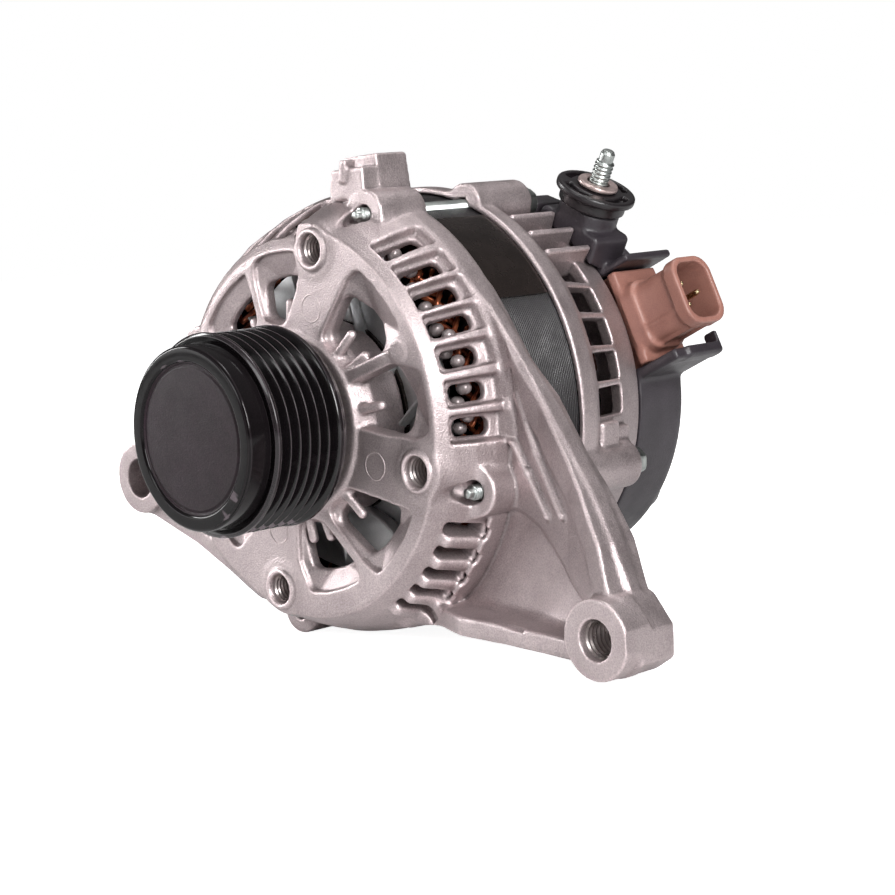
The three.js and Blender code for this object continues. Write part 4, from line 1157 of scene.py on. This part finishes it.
# Each fan: its disc, the top of its blades, how many, their sweep, and their inner and outer radius.
FANS = (("front_fan", (48.8, 44.6, 11, 14, 28, 46.4)),
        ("rear_fan", (90.0, 100.6, 10, -14, 30, 46.4)))
for node, sizes in FANS:
    disc, blades = cooling_fan(node + "_sheet", *sizes)
    fit(disc, "rotor", "bearing_steel", node, look=BRIGHT)
    fit(blades, "rotor", "bearing_steel", look=BRIGHT)
for i, angle in enumerate(BOLTS):
    shaft, tip = through_bolt(f"bolt_{i + 1}", angle)
    fit(shaft, "housing", "zinc_steel", f"through_bolt_{i + 1}")
    fit(tip, "housing", "zinc_steel")
for i, angle in enumerate(COVER_NUTS):
    fit(cover_nut(f"nut_{i + 1}", angle), "housing", "zinc_steel", f"cover_nut_{i + 1}")
shaft, thread, tip, washer = stud_pieces()
fit(shaft, "housing", "zinc_steel", "terminal_stud")
fit(thread, "housing", "zinc_steel")
fit(tip, "housing", "zinc_steel")
fit(washer, "housing", "zinc_steel", "terminal_washer", look=PINKISH)

for i, (dy, across) in enumerate(PIN_PLACES):
    shape = soften([(0, 0), (0.9, 0), (0.9, 16.6), (0.9, 19.6), (0.4, 20.5), (0, 20.5)], 0.3)
    pin = lathe(f"contact_pin_{i + 1}", shape, 24,
                frame_=(plug_point(58, dy, across), ring_point(1, PLUG_ANGLE, 0), (0, 1, 0)))
    fit(pin, "housing", "brass", f"connector_pin_{i + 1}")
for i, angle in enumerate(PULLERS):
    groove = inner_thread(f"puller_thread_{i + 1}", polar(PULLER_R, angle), 4.6, 31.4, 38)
    fit(groove, "housing", "cast_aluminium", look=CUT_THREAD_PAINTED_LIGHT)
groove = inner_thread("right_ear_thread", RIGHT_EAR, 5.7, EAR_FRONT + 2.2, EAR_REAR - 0.6, 1.5)
fit(groove, "housing", "cast_aluminium", look=CUT_THREAD_PAINTED_LIGHT)
for i, (r, angle) in enumerate(((35, 78), (35, -14.6), (35, -105), (36, 172))):
    x, z = polar(r, angle)
    fit(mark(f"ejector_mark_{i + 1}", x, 30.75, z), "housing", "cast_aluminium")

# ---------------------------------------------------------------- studio
def for_camera(nodes, links, lit, seen):
    """Shows the camera one shader and lights the object with another."""
    path = nodes.new("ShaderNodeLightPath")
    pick = nodes.new("ShaderNodeMixShader")
    links.new(path.outputs["Is Camera Ray"], pick.inputs["Fac"])
    links.new(lit, pick.inputs[1])
    links.new(seen, pick.inputs[2])
    return pick.outputs[0]


HALF_FLOOR, FLOOR_Z = 4, -0.0004
corners = [(HALF_FLOOR * u, HALF_FLOOR * v, FLOOR_Z) for u, v in ((-1, -1), (1, -1), (1, 1), (-1, 1))]
floor_mesh = bpy.data.meshes.new("floor")
floor_mesh.from_pydata(corners, [], [(0, 1, 2, 3)])
floor = bpy.data.objects.new("floor", floor_mesh)
bpy.context.scene.collection.objects.link(floor)
paper = bpy.data.materials.new("paper")
paper.use_nodes = True
nodes, links = paper.node_tree.nodes, paper.node_tree.links
matt = nodes["Principled BSDF"]
matt.inputs["Base Color"].default_value = (0.80, 0.80, 0.80, 1)
matt.inputs["Roughness"].default_value = 0.9
glow = nodes.new("ShaderNodeEmission")
glow.inputs["Strength"].default_value = 0.93
total = nodes.new("ShaderNodeAddShader")
links.new(matt.outputs[0], total.inputs[0])
links.new(glow.outputs[0], total.inputs[1])
shown = for_camera(nodes, links, matt.outputs[0], total.outputs[0])
links.new(shown, nodes["Material Output"].inputs["Surface"])
floor_mesh.materials.append(paper)

world = bpy.data.worlds.new("studio")
bpy.context.scene.world = world
world.use_nodes = True
nodes, links = world.node_tree.nodes, world.node_tree.links
sky = nodes["Background"]
coord = nodes.new("ShaderNodeTexCoord")
split = nodes.new("ShaderNodeSeparateXYZ")
links.new(coord.outputs["Generated"], split.inputs["Vector"])
tone = nodes.new("ShaderNodeValToRGB")
stops = [(0.0, 0.26), (0.40, 0.16), (0.52, 0.03), (0.66, 0.06), (0.85, 0.20), (1.0, 0.30)]
while len(tone.color_ramp.elements) < len(stops):
    tone.color_ramp.elements.new(0.5)
for e, (at, v) in zip(tone.color_ramp.elements, stops):
    e.position, e.color = at, (v, v * 0.985, v * 0.985, 1)
half = nodes.new("ShaderNodeMath")
half.operation = "MULTIPLY_ADD"
half.inputs[1].default_value = 0.5
half.inputs[2].default_value = 0.5
links.new(split.outputs["Z"], half.inputs[0])
links.new(half.outputs[0], tone.inputs["Fac"])
links.new(tone.outputs["Color"], sky.inputs["Color"])
sky.inputs["Strength"].default_value = 1.0
white = nodes.new("ShaderNodeBackground")
white.inputs["Color"].default_value = (1, 1, 1, 1)
shown = for_camera(nodes, links, sky.outputs[0], white.outputs[0])
links.new(shown, nodes["World Output"].inputs["Surface"])


middle = (cad_box[0] + cad_box[1]) / 2


def softbox(name, at, size, power):
    light = bpy.data.lights.new(name, "AREA")
    light.shape = "RECTANGLE"
    light.size, light.size_y = size
    light.energy = power
    obj = bpy.data.objects.new(name, light)
    bpy.context.scene.collection.objects.link(obj)
    obj.location = at
    obj.rotation_euler = (Vector(middle) - Vector(at)).to_track_quat("-Z", "Y").to_euler()


softbox("key", (1.05, -0.42, 0.55), (0.40, 0.6), 19.0)
softbox("top", (0.10, 0.30, 1.2), (0.40, 0.30), 4.0)
softbox("left", (-1.05, -0.40, 0.50), (0.12, 0.7), 8.0)
softbox("front", (0.05, -1.35, 0.85), (0.8, 0.5), 7.0)
softbox("face", (-1.05, -1.00, 0.30), (0.8, 0.5), 4.0)

# The camera's place and its right, up and back directions, in the rotor frame.
EYE = (524.713, -421.886, 114.728)
EYE_AXES = ((0.70125, 0.71287, -0.00743), (-0.11928, 0.12760, 0.98463), (0.70286, -0.68959, 0.17451))
camera = bpy.data.cameras.new("camera")
camera.lens, camera.sensor_width = 95.7, 36
camera.clip_start, camera.clip_end = 0.05, 20
eye = bpy.data.objects.new("camera", camera)
bpy.context.scene.collection.objects.link(eye)
turn = Matrix([direction(v) for v in EYE_AXES]).transposed().to_4x4()
turn.translation = Vector(place([EYE])[0])
eye.matrix_world = turn
bpy.context.scene.camera = eye
bpy.context.scene.view_settings.view_transform = "Standard"
bpy.context.scene.view_settings.look = "None"
